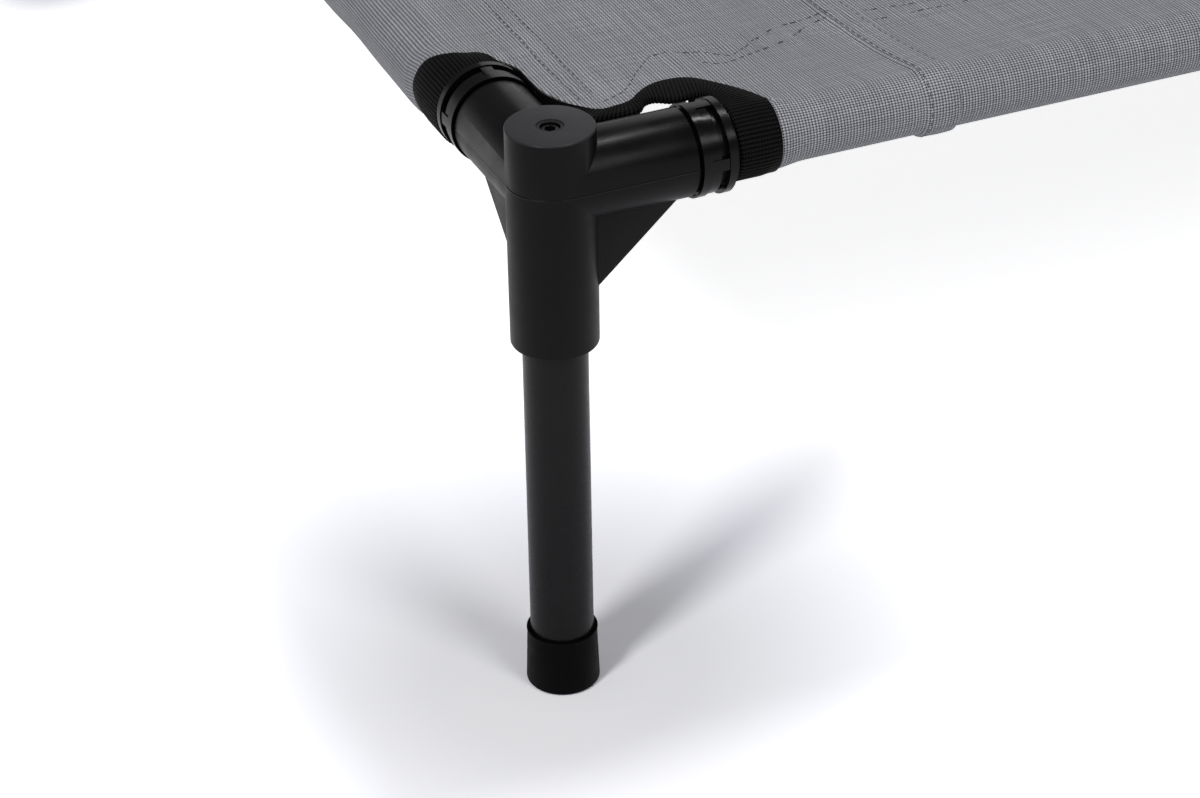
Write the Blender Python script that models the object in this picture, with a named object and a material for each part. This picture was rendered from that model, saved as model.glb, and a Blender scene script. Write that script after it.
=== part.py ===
"""Raised pet bed: a cover stretched between steel rails on four moulded corner fittings.

Metres, +Z up. X runs along the long rails, Y along the short ones, and the bed's centre
stands over the origin, with the feet on Z = 0.
"""
import math

import bmesh
import bpy
from mathutils import Euler, Matrix, Vector

# Frame
LEG_SPACING_X = 1.066
LEG_SPACING_Y = 0.726
RAIL_AXIS_HEIGHT = 0.2225
RAIL_RADIUS = 0.012
LEG_RADIUS = 0.0125
TUBE_WALL = 0.0012
RAIL_INSET = 0.020
CLEARANCE = 0.0003

# Corner fitting
ARM_WALL = 0.00465
ARM_REACH = 0.0525
LEG_SLEEVE_WALL = 0.0042
LEG_SLEEVE_DROP = 0.067
BOSS_RISE = 0.0225
BOSS_STEP = 0.00015
PARTING_RISE = 0.0004
EDGE_BREAK = 0.0006
SOCKET_WEB = 0.003
GUSSET_WIDTH = 0.018
GUSSET_LOW = 0.0412
GUSSET_REACH = 0.0440
GUSSET_ROOT = 0.011
ARM_ROOT = 0.001
SPIGOT_WALL = 0.0032
LIP_HEIGHT = 0.0009
LIP_LENGTH = 0.0011

# Locking collar
COLLAR_GAP = 0.001
COLLAR_LENGTH = 0.0135
COLLAR_WALL = 0.0015
COLLAR_CUP_DEPTH = 0.0012
COLLAR_CUP_RADIUS = 0.0171
FLANGE_RADIUS = 0.0179
FLANGE_LENGTH = 0.0035
RIM_RADIUS = 0.0182
RIM_LENGTH = 0.003
WINDOW_LENGTH = 0.003
RIB_RISE = 0.0005
COLLAR_TURN_X = math.radians(-9.5)
COLLAR_TURN_Y = math.radians(-5.3)

# Leg fastening
BOLT_RADIUS = 0.0025
BOLT_HEAD_RADIUS = 0.0036
BOLT_HEAD_HEIGHT = 0.0045
BOLT_HEAD_SINK = 0.0012
BOLT_KEY_ACROSS_FLATS = 0.004
BOLT_KEY_DEPTH = 0.0025
BOLT_GRIP = 0.014
RECESS_RADIUS = 0.00525
RECESS_DEPTH = 0.00045
PLUG_FLANGE = 0.0018
PLUG_LENGTH = 0.018

# Foot
FOOT_HEIGHT = 0.0245
FOOT_FLOOR = 0.003
FOOT_WALL = 0.001
FOOT_FLARE = 0.0008
FOOT_EDGE = 0.001

# Cover
FABRIC = 0.0006
LONG_HEM_IN = 0.047
LONG_HEM_OUT = 0.061
SHORT_HEM_IN = 0.024
SHORT_HEM_OUT = 0.037
SHORT_SLEEVE_SLACK = 0.0035
SHORT_HEM_TRIM = 0.0105
SEAM_AT = 0.162
SEAM_LAP = 0.012
SEAM_JOGGLE = 0.002
COVER_TAPER = 0.012

# Corner binding
WEBBING = 0.0008
BINDING_WIDTH = 0.018
BINDING_GAP = 0.0011
BINDING_MOUTH = 0.0015
SHORT_BINDING_SLACK = 0.0024
# How much farther from the corner the binding starts, round the short rail from its top
SHORT_BINDING_LEAN = (-0.0030, 0.0015, 0.0065, 0.0077, 0.0085, 0.0070, 0.0040, 0.0010)
# Corner notch, in control rows of the binding's far edge and its free edge. Beside the short
# rail they are offsets from the swing of the collar's rim, the rim's end and the deck; beside
# the long rail from the rim's end, the side of the arm and the deck. The tip is from the leg's
# axis and the deck.
NOTCH_BY_SHORT_RAIL = (
    ((-0.0147, 0.0164, 0.0007), (-0.0152, 0.0025, 0.0006)),
    ((-0.0105, 0.0134, 0.0001), (-0.0099, 0.0025, -0.0028)),
    ((-0.0073, 0.0076, -0.0003), (-0.0036, 0.0050, -0.0080)),
    ((-0.0038, 0.0004, -0.0008), (0.0014, 0.0008, -0.0118)),
    ((-0.0035, -0.0075, -0.0010), (0.0013, -0.0070, -0.0126)),
    ((-0.0029, -0.0215, -0.0010), (0.0002, -0.0220, -0.0126)),
    ((0.0007, -0.0360, -0.0005), (-0.0006, -0.0410, -0.0061)),
)
NOTCH_TIP = ((0.0265, 0.0196, -0.0001), (0.0205, 0.0142, -0.0002))
NOTCH_BY_LONG_RAIL = (
    ((-0.0310, 0.0015, 0.0000), (-0.0340, -0.0050, 0.0000)),
    ((-0.0250, 0.0039, 0.0000), (-0.0252, -0.0045, 0.0000)),
    ((-0.0200, 0.0083, 0.0000), (-0.0208, -0.0007, 0.0000)),
    ((-0.0135, 0.0125, 0.0000), (-0.0165, 0.0000, 0.0000)),
    ((-0.0050, 0.0139, 0.0000), (-0.0100, -0.0033, 0.0000)),
    ((0.0035, 0.0111, 0.0000), (-0.0004, -0.0032, 0.0000)),
    ((0.0115, 0.0013, 0.0002), (0.0025, -0.0081, 0.0000)),
    ((0.0170, -0.0092, 0.0008), (0.0025, -0.0127, 0.0006)),
)

# Fineness of the round shapes
TUBE_SEGMENTS = 24
FITTING_SEGMENTS = 24
COLLAR_SEGMENTS = 24
COLLAR_WINDOWS = 4
BOLT_SEGMENTS = 12
SLEEVE_STEPS = 12
NOTCH_STEPS = 2
MERGE = 0.00001
FLAT_ANGLE = math.radians(0.2)

# Sizes that follow from the ones above
ARM_BORE = RAIL_RADIUS + CLEARANCE
ARM_RADIUS = ARM_BORE + ARM_WALL
SPIGOT_RADIUS = ARM_BORE + SPIGOT_WALL
LIP_RADIUS = SPIGOT_RADIUS + LIP_HEIGHT
LEG_BORE = LEG_RADIUS + CLEARANCE
LEG_SLEEVE_RADIUS = LEG_BORE + LEG_SLEEVE_WALL
BOSS_RADIUS = LEG_SLEEVE_RADIUS - BOSS_STEP
SLEEVE_BOTTOM = RAIL_AXIS_HEIGHT - LEG_SLEEVE_DROP
BOSS_TOP = RAIL_AXIS_HEIGHT + BOSS_RISE
SOCKET_CEILING = RAIL_AXIS_HEIGHT - ARM_BORE - SOCKET_WEB
COLLAR_START = ARM_REACH + COLLAR_GAP
COLLAR_BORE = SPIGOT_RADIUS + CLEARANCE
COLLAR_BODY = COLLAR_BORE + COLLAR_WALL
LIP_START = COLLAR_START + COLLAR_LENGTH + CLEARANCE
ARM_END = LIP_START + LIP_LENGTH
BOLT_SEAT = BOSS_TOP - BOLT_HEAD_SINK - BOLT_HEAD_HEIGHT - CLEARANCE
PLUG_TOP = SOCKET_CEILING - CLEARANCE
LEG_TOP = PLUG_TOP - PLUG_FLANGE - CLEARANCE
COVER_RADIUS = RAIL_RADIUS + CLEARANCE + FABRIC / 2
COVER_LIFT = WEBBING + CLEARANCE
SEAM_LIFT = FABRIC + CLEARANCE
BINDING_HALF = FABRIC / 2 + CLEARANCE + WEBBING
BINDING_NEAR = ARM_END + BINDING_GAP
BINDING_FAR = BINDING_NEAR + BINDING_WIDTH

# name, side of the bed in X and Y, quarter turns, collar on the local X arm, collar on the Y arm
CORNERS = (
    ("front_left", -1, -1, 0, "front_rail_collar_left", "left_rail_collar_front"),
    ("front_right", 1, -1, 1, "right_rail_collar_front", "front_rail_collar_right"),
    ("back_right", 1, 1, 2, "back_rail_collar_right", "right_rail_collar_back"),
    ("back_left", -1, 1, 3, "left_rail_collar_back", "back_rail_collar_left"),
)


def clear_scene():
    """Empties the scene."""
    for scene_object in list(bpy.data.objects):
        bpy.data.objects.remove(scene_object, do_unlink=True)


def finish_material(name, colour, roughness, metallic=0.0):
    """A plain Principled material."""
    material = bpy.data.materials.new(name)
    material.use_nodes = True
    shader = material.node_tree.nodes["Principled BSDF"]
    shader.inputs["Base Color"].default_value = (*colour, 1.0)
    shader.inputs["Roughness"].default_value = roughness
    shader.inputs["Metallic"].default_value = metallic
    return material


def mesh_from(bm, name):
    """Closes a bmesh into a mesh whose faces point outwards."""
    bmesh.ops.remove_doubles(bm, verts=bm.verts, dist=MERGE)
    bmesh.ops.recalc_face_normals(bm, faces=bm.faces)
    mesh = bpy.data.meshes.new(name)
    bm.to_mesh(mesh)
    bm.free()
    return mesh


def shade_round(mesh):
    """Shades round stretches smooth and leaves the edges sharp."""
    mesh.shade_smooth()
    mesh.set_sharp_from_angle(angle=math.radians(35.0))


def place(name, mesh, material, parent=None, location=(0, 0, 0), rotation=(0, 0, 0)):
    """Adds an object for a mesh, under an optional parent."""
    piece = bpy.data.objects.new(name, mesh)
    bpy.context.scene.collection.objects.link(piece)
    if not mesh.materials:
        mesh.materials.append(material)
    piece.parent = parent
    piece.location = location
    piece.rotation_euler = Euler(rotation)
    return piece


def turned_bmesh(profile, segments, hollow):
    """Turns (radius, height) pairs about Z. A hollow profile is a closed loop."""
    bm = bmesh.new()
    verts = [bm.verts.new((radius, 0.0, height)) for radius, height in profile]
    ends = verts[1:] + verts[:1] if hollow else verts[1:]
    edges = [bm.edges.new(pair) for pair in zip(verts, ends)]
    bmesh.ops.spin(bm, geom=verts + edges, cent=(0, 0, 0), axis=(0, 0, 1),
                   angle=math.tau, steps=segments, use_merge=True)
    bmesh.ops.remove_doubles(bm, verts=bm.verts, dist=MERGE)
    poles = [vert for vert in bm.verts if vert.co.xy.length < MERGE]
    bmesh.ops.dissolve_verts(bm, verts=poles)
    bmesh.ops.recalc_face_normals(bm, faces=bm.faces)
    return bm


def turned(name, profile, segments, hollow=True):
    """A turned mesh, shaded round."""
    mesh = mesh_from(turned_bmesh(profile, segments, hollow), name)
    shade_round(mesh)
    return mesh


def tube_profile(radius, length):
    """The closed section of a tube that stands on Z = 0."""
    inner = radius - TUBE_WALL
    return [(inner, 0.0), (radius, 0.0), (radius, length), (inner, length)]


# Corner fitting

def fitting_cutter(name, profile, rotation=(0, 0, 0), location=(0, 0, 0)):
    """A turned cutter, hidden from renders and shown as wire."""
    cutter = place(name, turned(name, profile, FITTING_SEGMENTS, hollow=False), None,
                   location=location, rotation=rotation)
    cutter.hide_render = True
    cutter.display_type = "WIRE"
    return cutter


def solid_cylinder(radius, low, high):
    """The open section of a solid round bar."""
    return [(0.0, low), (radius, low), (radius, high), (0.0, high)]


def fitting_column():
    """Leg sleeve and boss in one turned column, with broken edges and the parting step."""
    return turned_bmesh([
        (0.0, SLEEVE_BOTTOM),
        (LEG_SLEEVE_RADIUS - EDGE_BREAK, SLEEVE_BOTTOM),
        (LEG_SLEEVE_RADIUS, SLEEVE_BOTTOM + EDGE_BREAK),
        (LEG_SLEEVE_RADIUS, RAIL_AXIS_HEIGHT + PARTING_RISE),
        (BOSS_RADIUS, RAIL_AXIS_HEIGHT + PARTING_RISE + BOSS_STEP),
        (BOSS_RADIUS, BOSS_TOP - EDGE_BREAK),
        (BOSS_RADIUS - EDGE_BREAK, BOSS_TOP),
        (0.0, BOSS_TOP),
    ], FITTING_SEGMENTS, hollow=False)


def arm_profile():
    """Arm, the spigot that the collar turns on, and the spigot's retaining lip."""
    return [
        (0.0, ARM_ROOT),
        (ARM_RADIUS, ARM_ROOT),
        (ARM_RADIUS, ARM_REACH - EDGE_BREAK),
        (ARM_RADIUS - EDGE_BREAK, ARM_REACH),
        (SPIGOT_RADIUS, ARM_REACH),
        (SPIGOT_RADIUS, LIP_START),
        (LIP_RADIUS, LIP_START),
        (LIP_RADIUS, ARM_END),
        (0.0, ARM_END),
    ]


def gusset_mesh(name):
    """A thick triangular web between the leg sleeve and the arm along X."""
    bm = bmesh.new()
    low = RAIL_AXIS_HEIGHT - GUSSET_LOW
    under_arm = RAIL_AXIS_HEIGHT - ARM_RADIUS
    high = RAIL_AXIS_HEIGHT - ARM_RADIUS / 2
    slope = (under_arm - low) / (GUSSET_REACH - LEG_SLEEVE_RADIUS)
    outline = [
        (GUSSET_ROOT, low - slope * (LEG_SLEEVE_RADIUS - GUSSET_ROOT)),
        (GUSSET_REACH + (high - under_arm) / slope, high),
        (GUSSET_ROOT, high),
    ]
    half = GUSSET_WIDTH / 2
    face = bm.faces.new([bm.verts.new((x, -half, z)) for x, z in outline])
    pulled = bmesh.ops.extrude_face_region(bm, geom=[face])
    moved = [item for item in pulled["geom"] if isinstance(item, bmesh.types.BMVert)]
    bmesh.ops.translate(bm, verts=moved, vec=(0, GUSSET_WIDTH, 0))
    return mesh_from(bm, name)


def boolean(piece, operation, other):
    """Adds one exact Boolean step."""
    step = piece.modifiers.new(other.name, "BOOLEAN")
    step.operation = operation
    step.solver = "EXACT"
    step.object = other


def fitting_mesh():
    """The three-way corner moulding, worked out once and shared by the four corners."""
    quarter = math.pi / 2
    body = place("fitting_blank", mesh_from(fitting_column(), "fitting_blank"), None)
    tools = []
    axis = (0, 0, RAIL_AXIS_HEIGHT)
    for label, turn in (("x", (0, quarter, 0)), ("y", (-quarter, 0, 0))):
        arm = fitting_cutter(f"arm_{label}", arm_profile(), turn, axis)
        boolean(body, "UNION", arm)
        tools.append(arm)
    for label, turn in (("x", 0.0), ("y", quarter)):
        web = place(f"gusset_{label}", gusset_mesh("gusset"), None, rotation=(0, 0, turn))
        boolean(body, "UNION", web)
        tools.append(web)
    past = ARM_END + ARM_RADIUS
    for label, turn in (("x", (0, quarter, 0)), ("y", (-quarter, 0, 0))):
        bore = fitting_cutter(f"rail_bore_{label}",
                              solid_cylinder(ARM_BORE, RAIL_INSET - CLEARANCE, past), turn, axis)
        boolean(body, "DIFFERENCE", bore)
        tools.append(bore)
    leg_bore = fitting_cutter("leg_bore", solid_cylinder(LEG_BORE, 0.0, SOCKET_CEILING))
    bolt_hole = fitting_cutter("bolt_hole", [
        (0.0, SLEEVE_BOTTOM),
        (BOLT_RADIUS + CLEARANCE, SLEEVE_BOTTOM),
        (BOLT_RADIUS + CLEARANCE, BOLT_SEAT),
        (BOLT_HEAD_RADIUS + CLEARANCE, BOLT_SEAT),
        (BOLT_HEAD_RADIUS + CLEARANCE, BOSS_TOP - RECESS_DEPTH),
        (RECESS_RADIUS, BOSS_TOP - RECESS_DEPTH),
        (RECESS_RADIUS, BOSS_TOP + RECESS_DEPTH),
        (0.0, BOSS_TOP + RECESS_DEPTH),
    ])
    for tool in (leg_bore, bolt_hole):
        boolean(body, "DIFFERENCE", tool)
        tools.append(tool)
    bpy.context.view_layer.update()
    evaluated = body.evaluated_get(bpy.context.evaluated_depsgraph_get())
    bm = bmesh.new()
    bm.from_mesh(evaluated.to_mesh())
    bmesh.ops.remove_doubles(bm, verts=bm.verts, dist=MERGE)
    bmesh.ops.dissolve_limit(bm, verts=bm.verts, edges=bm.edges, angle_limit=FLAT_ANGLE)
    mesh = mesh_from(bm, "corner_fitting")
    for tool in [body] + tools:
        bpy.data.objects.remove(tool, do_unlink=True)
    shade_round(mesh)
    return mesh


# Locking collar

def collar_mesh():
    """A ring with a cupped flange, a rim, four windows and the ribs between them."""
    window_end = COLLAR_LENGTH - RIM_LENGTH
    window_start = window_end - WINDOW_LENGTH
    rib_radius = COLLAR_BODY + RIB_RISE
    bm = turned_bmesh([
        (COLLAR_CUP_RADIUS, 0.0),
        (FLANGE_RADIUS, 0.0),
        (FLANGE_RADIUS, FLANGE_LENGTH),
        (rib_radius, FLANGE_LENGTH),
        (rib_radius, window_start),
        (rib_radius, window_end),
        (RIM_RADIUS, window_end),
        (RIM_RADIUS, COLLAR_LENGTH),
        (COLLAR_BORE, COLLAR_LENGTH),
        (COLLAR_BORE, window_end),
        (COLLAR_BORE, window_start),
        (COLLAR_BORE, COLLAR_CUP_DEPTH),
        (COLLAR_CUP_RADIUS, COLLAR_CUP_DEPTH),
    ], COLLAR_SEGMENTS, hollow=True)
    pitch = COLLAR_SEGMENTS // COLLAR_WINDOWS

    def beside_rib(face, low, high):
        """Whether a face is on the wall between two heights and not at a rib."""
        centre = face.calc_center_median()
        turn = math.atan2(centre.y, centre.x) % math.tau / math.tau
        on_rib = int(turn * COLLAR_SEGMENTS) % pitch == 0
        return abs(face.normal.z) < 0.5 and low < centre.z < high and not on_rib

    bm.normal_update()
    shelf = [face for face in bm.faces if beside_rib(face, FLANGE_LENGTH, window_end)
             and face.calc_center_median().xy.length > COLLAR_BORE]
    sunk = bmesh.ops.extrude_face_region(bm, geom=shelf)["geom"]
    for vert in (item for item in sunk if isinstance(item, bmesh.types.BMVert)):
        vert.co.xy *= COLLAR_BODY / vert.co.xy.length
    bmesh.ops.delete(bm, geom=[face for face in shelf if face.is_valid], context="FACES_ONLY")
    bm.normal_update()
    glass = [face for face in bm.faces if beside_rib(face, window_start, window_end)]
    bmesh.ops.delete(bm, geom=glass, context="FACES_ONLY")
    rims = [edge for edge in bm.edges if edge.is_boundary]
    for window in range(COLLAR_WINDOWS):
        bmesh.ops.bridge_loops(bm, edges=window_edges(rims, window * pitch, pitch))
    mesh = mesh_from(bm, "locking_collar")
    shade_round(mesh)
    return mesh


def window_edges(rims, first, pitch):
    """The open edges, outer and inner, of the window that starts after a rib's segment."""
    chosen = []
    for edge in rims:
        middle = (edge.verts[0].co + edge.verts[1].co) / 2
        turn = math.atan2(middle.y, middle.x) / math.tau
        step = (turn * COLLAR_SEGMENTS - first) % COLLAR_SEGMENTS
        if 0.75 < step < pitch + 0.25:
            chosen.append(edge)
    return chosen


# Leg parts

def bolt_mesh():
    """Socket-head bolt; its seat is at Z = 0 and its shank points down."""
    key_corner = BOLT_KEY_ACROSS_FLATS / math.sqrt(3)
    length = BOLT_SEAT - PLUG_TOP + BOLT_GRIP
    bm = turned_bmesh([
        (0.0, -length),
        (BOLT_RADIUS, -length),
        (BOLT_RADIUS, 0.0),
        (BOLT_HEAD_RADIUS, 0.0),
        (BOLT_HEAD_RADIUS, BOLT_HEAD_HEIGHT),
        (key_corner, BOLT_HEAD_HEIGHT),
        (key_corner, BOLT_HEAD_HEIGHT - BOLT_KEY_DEPTH),
        (0.0, BOLT_HEAD_HEIGHT - BOLT_KEY_DEPTH),
    ], BOLT_SEGMENTS, hollow=False)
    for vert in bm.verts:
        on_key = abs(math.hypot(vert.co.x, vert.co.y) - key_corner) < MERGE and vert.co.z > 0.0
        step = round(math.atan2(vert.co.y, vert.co.x) / math.tau * BOLT_SEGMENTS)
        if on_key and step % 2:
            vert.co.xy *= math.cos(math.pi / 6)
    mesh = mesh_from(bm, "leg_bolt")
    shade_round(mesh)
    return mesh


def plug_mesh():
    """Threaded plug in the top of the leg tube; its flange covers the tube's end."""
    body = LEG_RADIUS - TUBE_WALL - CLEARANCE
    hole = BOLT_RADIUS + CLEARANCE
    return turned("leg_plug", [
        (hole, PLUG_TOP - PLUG_FLANGE - PLUG_LENGTH),
        (body, PLUG_TOP - PLUG_FLANGE - PLUG_LENGTH),
        (body, PLUG_TOP - PLUG_FLANGE),
        (LEG_RADIUS, PLUG_TOP - PLUG_FLANGE),
        (LEG_RADIUS, PLUG_TOP),
        (hole, PLUG_TOP),
    ], BOLT_SEGMENTS)


def foot_mesh():
    """Tapered rubber ferrule with a floor, open at the top."""
    top = LEG_BORE + FOOT_WALL
    base = top + FOOT_FLARE
    return turned("foot", [
        (0.0, 0.0),
        (base - FOOT_EDGE, 0.0),
        (base, FOOT_EDGE),
        (top, FOOT_HEIGHT),
        (LEG_BORE, FOOT_HEIGHT),
        (LEG_BORE, FOOT_FLOOR),
        (0.0, FOOT_FLOOR),
    ], TUBE_SEGMENTS, hollow=False)


# Cover

def sleeve_section(top, slack, hem_in, hem_out, lift=0.0):
    """Section of a sleeve round a rail, from the rail's top to the hem's end.

    Pairs are (distance inwards, height) from the rail's axis. The loop is a circle hung from
    the top by the slack, then a straight flap that rises to the hem under the deck.
    """
    radius = top + lift + slack
    flap = top - FABRIC - CLEARANCE - lift
    away = math.hypot(hem_in, flap + slack)
    end = math.atan2(flap + slack, hem_in) - math.acos(radius / away)
    start = math.pi / 2
    sweep = end + math.tau - start
    section = []
    around = radius / math.cos(sweep / SLEEVE_STEPS / 2)
    for step in range(SLEEVE_STEPS + 1):
        angle = start + sweep * step / SLEEVE_STEPS
        reach = around if 0 < step < SLEEVE_STEPS else radius
        section.append((reach * math.cos(angle), reach * math.sin(angle) - slack))
    section.append((hem_in, flap))
    section.append((hem_out, flap))
    return section


def long_section(lift=0.0):
    """Section of the sleeve on a long rail."""
    return sleeve_section(COVER_RADIUS, 0.0, LONG_HEM_IN, LONG_HEM_OUT, lift)


def short_section(slack, lift=0.0):
    """Section of the looser sleeve on a short rail."""
    return sleeve_section(COVER_RADIUS, slack, SHORT_HEM_IN, SHORT_HEM_OUT, lift)


def notch_rows():
    """Control rows of the corner notch: where the binding starts, and its free edge.

    Each point is (along the long rail, along the short rail, height over the rails' axes),
    from the top of the short rail to the top of the long one. The free edge keeps outside
    the collars as they turn and outside the arms.
    """
    swing = RIM_RADIUS + BINDING_HALF + CLEARANCE
    beside = ARM_RADIUS + BINDING_HALF + CLEARANCE
    hoop = COVER_RADIUS + COVER_LIFT
    rim_end = COLLAR_START + COLLAR_LENGTH
    rows = [((0.0, BINDING_FAR + SHORT_BINDING_LEAN[0], hoop), (0.0, BINDING_NEAR, hoop))]
    for origin, table in (((swing, rim_end, COVER_RADIUS), NOTCH_BY_SHORT_RAIL),
                          ((0.0, 0.0, COVER_RADIUS), (NOTCH_TIP,)),
                          ((rim_end, beside, COVER_RADIUS), NOTCH_BY_LONG_RAIL)):
        for pair in table:
            rows.append(tuple(tuple(sum(terms) for terms in zip(origin, point)) for point in pair))
    rows.append(((BINDING_FAR, 0.0, hoop), (BINDING_NEAR, 0.0, hoop)))
    return rows


def smooth_points(points, steps):
    """Points on a Catmull-Rom curve through the given ones."""
    run = [Vector(point) for point in points]
    ends = [2 * run[0] - run[1]] + run + [2 * run[-1] - run[-2]]
    curve = []
    for index in range(len(run) - 1):
        before, here, after, beyond = ends[index:index + 4]
        for step in range(steps):
            t = step / steps
            curve.append(0.5 * (2 * here + (after - before) * t
                                + (2 * before - 5 * here + 4 * after - beyond) * t * t
                                + (3 * here - before - 3 * after + beyond) * t ** 3))
    return curve + [run[-1]]


def heading(row, index):
    """Direction of a row of points at one of them, halfway between its two neighbours'."""
    ahead = row[index + 1] - row[index] if index < len(row) - 1 else Vector()
    behind = row[index] - row[index - 1] if index else Vector()
    return ahead.normalized() + behind.normalized()


def cut_edge(side_x, side_y):
    """The cover's cut edge at one corner, from the short rail's hem to the long rail's hem.

    Gives three rows of points in the bed's frame: on the plain cover, at the binding's far
    edge, and at the binding's free edge.
    """
    start = BINDING_FAR + COVER_TAPER
    short = list(reversed(list(zip(short_section(SHORT_SLEEVE_SLACK),
                                   short_section(SHORT_BINDING_SLACK, COVER_LIFT)))))
    long = list(zip(long_section(), long_section(COVER_LIFT)))
    trims = [SHORT_HEM_TRIM, SHORT_HEM_TRIM] + [0.0] * (len(short) - 2)
    leans = [0.0] * (len(short) - len(SHORT_BINDING_LEAN)) + list(reversed(SHORT_BINDING_LEAN))
    leans = [trim + lean for trim, lean in zip(trims, leans)]
    plain = [Vector((u, start + lean, w)) for ((u, w), _), lean in zip(short[:-1], leans)]
    far = [Vector((u, BINDING_FAR + lean, w)) for (_, (u, w)), lean in zip(short[:-1], leans)]
    free = [Vector((u, BINDING_NEAR + trim, w)) for (_, (u, w)), trim in zip(short[:-1], trims)]
    rows = notch_rows()
    notch_far = smooth_points([row[0] for row in rows], NOTCH_STEPS)
    notch_free = smooth_points([row[1] for row in rows], NOTCH_STEPS)
    last = len(notch_far) - 1
    tip = (1 + len(NOTCH_BY_SHORT_RAIL)) * NOTCH_STEPS
    for index, point in enumerate(notch_far):
        ahead = heading(notch_far, index)
        reach = COVER_TAPER * min(1.0, (1.0 + abs(index - tip) / NOTCH_STEPS) / 3.0)
        inward = Vector((-ahead.y, ahead.x)).normalized() * reach
        spot = Vector((point.x + inward.x, point.y + inward.y, COVER_RADIUS))
        if index == 0:
            spot = Vector((0.0, start + SHORT_BINDING_LEAN[0], COVER_RADIUS))
        if index == last:
            spot = Vector((start, 0.0, COVER_RADIUS))
        plain.append(spot)
    far += notch_far
    free += notch_free
    plain += [Vector((start, u, w)) for (u, w), _ in long[1:]]
    far += [Vector((BINDING_FAR, u, w)) for _, (u, w) in long[1:]]
    free += [Vector((BINDING_NEAR, u, w)) for _, (u, w) in long[1:]]

    def to_bed(point):
        return Vector((side_x * (LEG_SPACING_X / 2 - point.x),
                       side_y * (LEG_SPACING_Y / 2 - point.y),
                       RAIL_AXIS_HEIGHT + point.z))

    return [[to_bed(point) for point in row] for row in (plain, far, free)]


def extend(bm, row, points):
    """Extrudes the chain of edges along a row of vertices out to new points."""
    edges = [bm.edges.get(pair) or bm.edges.new(pair) for pair in zip(row, row[1:])]
    grown = bmesh.ops.extrude_edge_only(bm, edges=edges)["geom"]
    fresh = {item for item in grown if isinstance(item, bmesh.types.BMVert)}
    following = []
    for vert, point in zip(row, points):
        partner = next(edge.other_vert(vert) for edge in vert.link_edges
                       if edge.other_vert(vert) in fresh)
        partner.co = point
        following.append(partner)
    return following


def across(x, lift=0.0):
    """The cover's whole section at one X, from the front hem over the deck to the back hem."""
    section = long_section(lift)
    half = LEG_SPACING_Y / 2
    front = [Vector((x, u - half, RAIL_AXIS_HEIGHT + w)) for u, w in reversed(section)]
    back = [Vector((x, half - u, RAIL_AXIS_HEIGHT + w)) for u, w in section]
    return front + back


def cloth(name, bm, material):
    """Gives a sheet its thickness and adds it as an object."""
    mesh = bpy.data.meshes.new(name)
    bmesh.ops.recalc_face_normals(bm, faces=bm.faces)
    bm.to_mesh(mesh)
    bm.free()
    shade_round(mesh)
    piece = place(name, mesh, material)
    thick = piece.modifiers.new("thickness", "SOLIDIFY")
    thick.thickness = FABRIC
    thick.offset = 0.0
    return piece


def centre_panel(material):
    """The middle of the cover, with a sleeve on each long rail."""
    bm = bmesh.new()
    edge = LEG_SPACING_X / 2 - SEAM_AT + SEAM_LAP - CLEARANCE
    row = [bm.verts.new(point) for point in across(-edge)]
    extend(bm, row, across(edge))
    return cloth("cover_centre_panel", bm, material)


def end_panel(name, side, material):
    """One end of the cover: its sleeve on the short rail, two corner notches and the lap."""
    bm = bmesh.new()
    corners = {side_y: cut_edge(side, side_y) for side_y in (-1, 1)}
    count = len(short_section(0.0))
    half_x = LEG_SPACING_X / 2
    joggle = side * (half_x - SEAM_AT + SEAM_LAP + SEAM_JOGGLE + CLEARANCE)
    lap_start = joggle - side * SEAM_JOGGLE
    lap_end = side * (half_x - SEAM_AT)
    deck_rows = {}
    for side_y, (plain, _, _) in corners.items():
        deck_rows[side_y] = [bm.verts.new(point) for point in plain[count - 1:len(plain) - count + 1]]
    section = across(joggle)
    top_front, top_back = section[count - 1], section[count]
    inner = [bm.verts.new(top_front), bm.verts.new(top_back)]
    bm.faces.new(deck_rows[-1] + inner + list(reversed(deck_rows[1])))

    short_row = [deck_rows[-1][0], deck_rows[1][0]]
    short_ends = {-1: [], 1: []}
    for step in range(1, count):
        points = [corners[side_y][0][count - 1 - step] for side_y in (-1, 1)]
        short_row = extend(bm, short_row, points)
        short_ends[-1].insert(0, short_row[0])
        short_ends[1].insert(0, short_row[1])

    long_ends = {-1: [], 1: []}
    lap_row = {-1: [], 1: []}
    for side_y, top in ((-1, 0), (1, 1)):
        long_row = [deck_rows[side_y][-1], inner[top]]
        for step in range(1, count):
            target = section[count - 1 - step] if side_y < 0 else section[count + step]
            plain = corners[side_y][0]
            long_row = extend(bm, long_row, [plain[len(plain) - count + step], target])
            long_ends[side_y].append(long_row[0])
            lap_row[side_y].append(long_row[1])
    row = list(reversed(lap_row[-1])) + inner + lap_row[1]
    row = extend(bm, row, across(lap_start, SEAM_LIFT))
    extend(bm, row, across(lap_end, SEAM_LIFT))

    into = BINDING_MOUTH - CLEARANCE
    for side_y, (_, far, free) in corners.items():
        row = short_ends[side_y] + deck_rows[side_y] + long_ends[side_y]
        row = extend(bm, row, far)
        edge = [start + (end - start).normalized() * into for start, end in zip(far, free)]
        extend(bm, row, edge)
    return cloth(name, bm, material)


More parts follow.
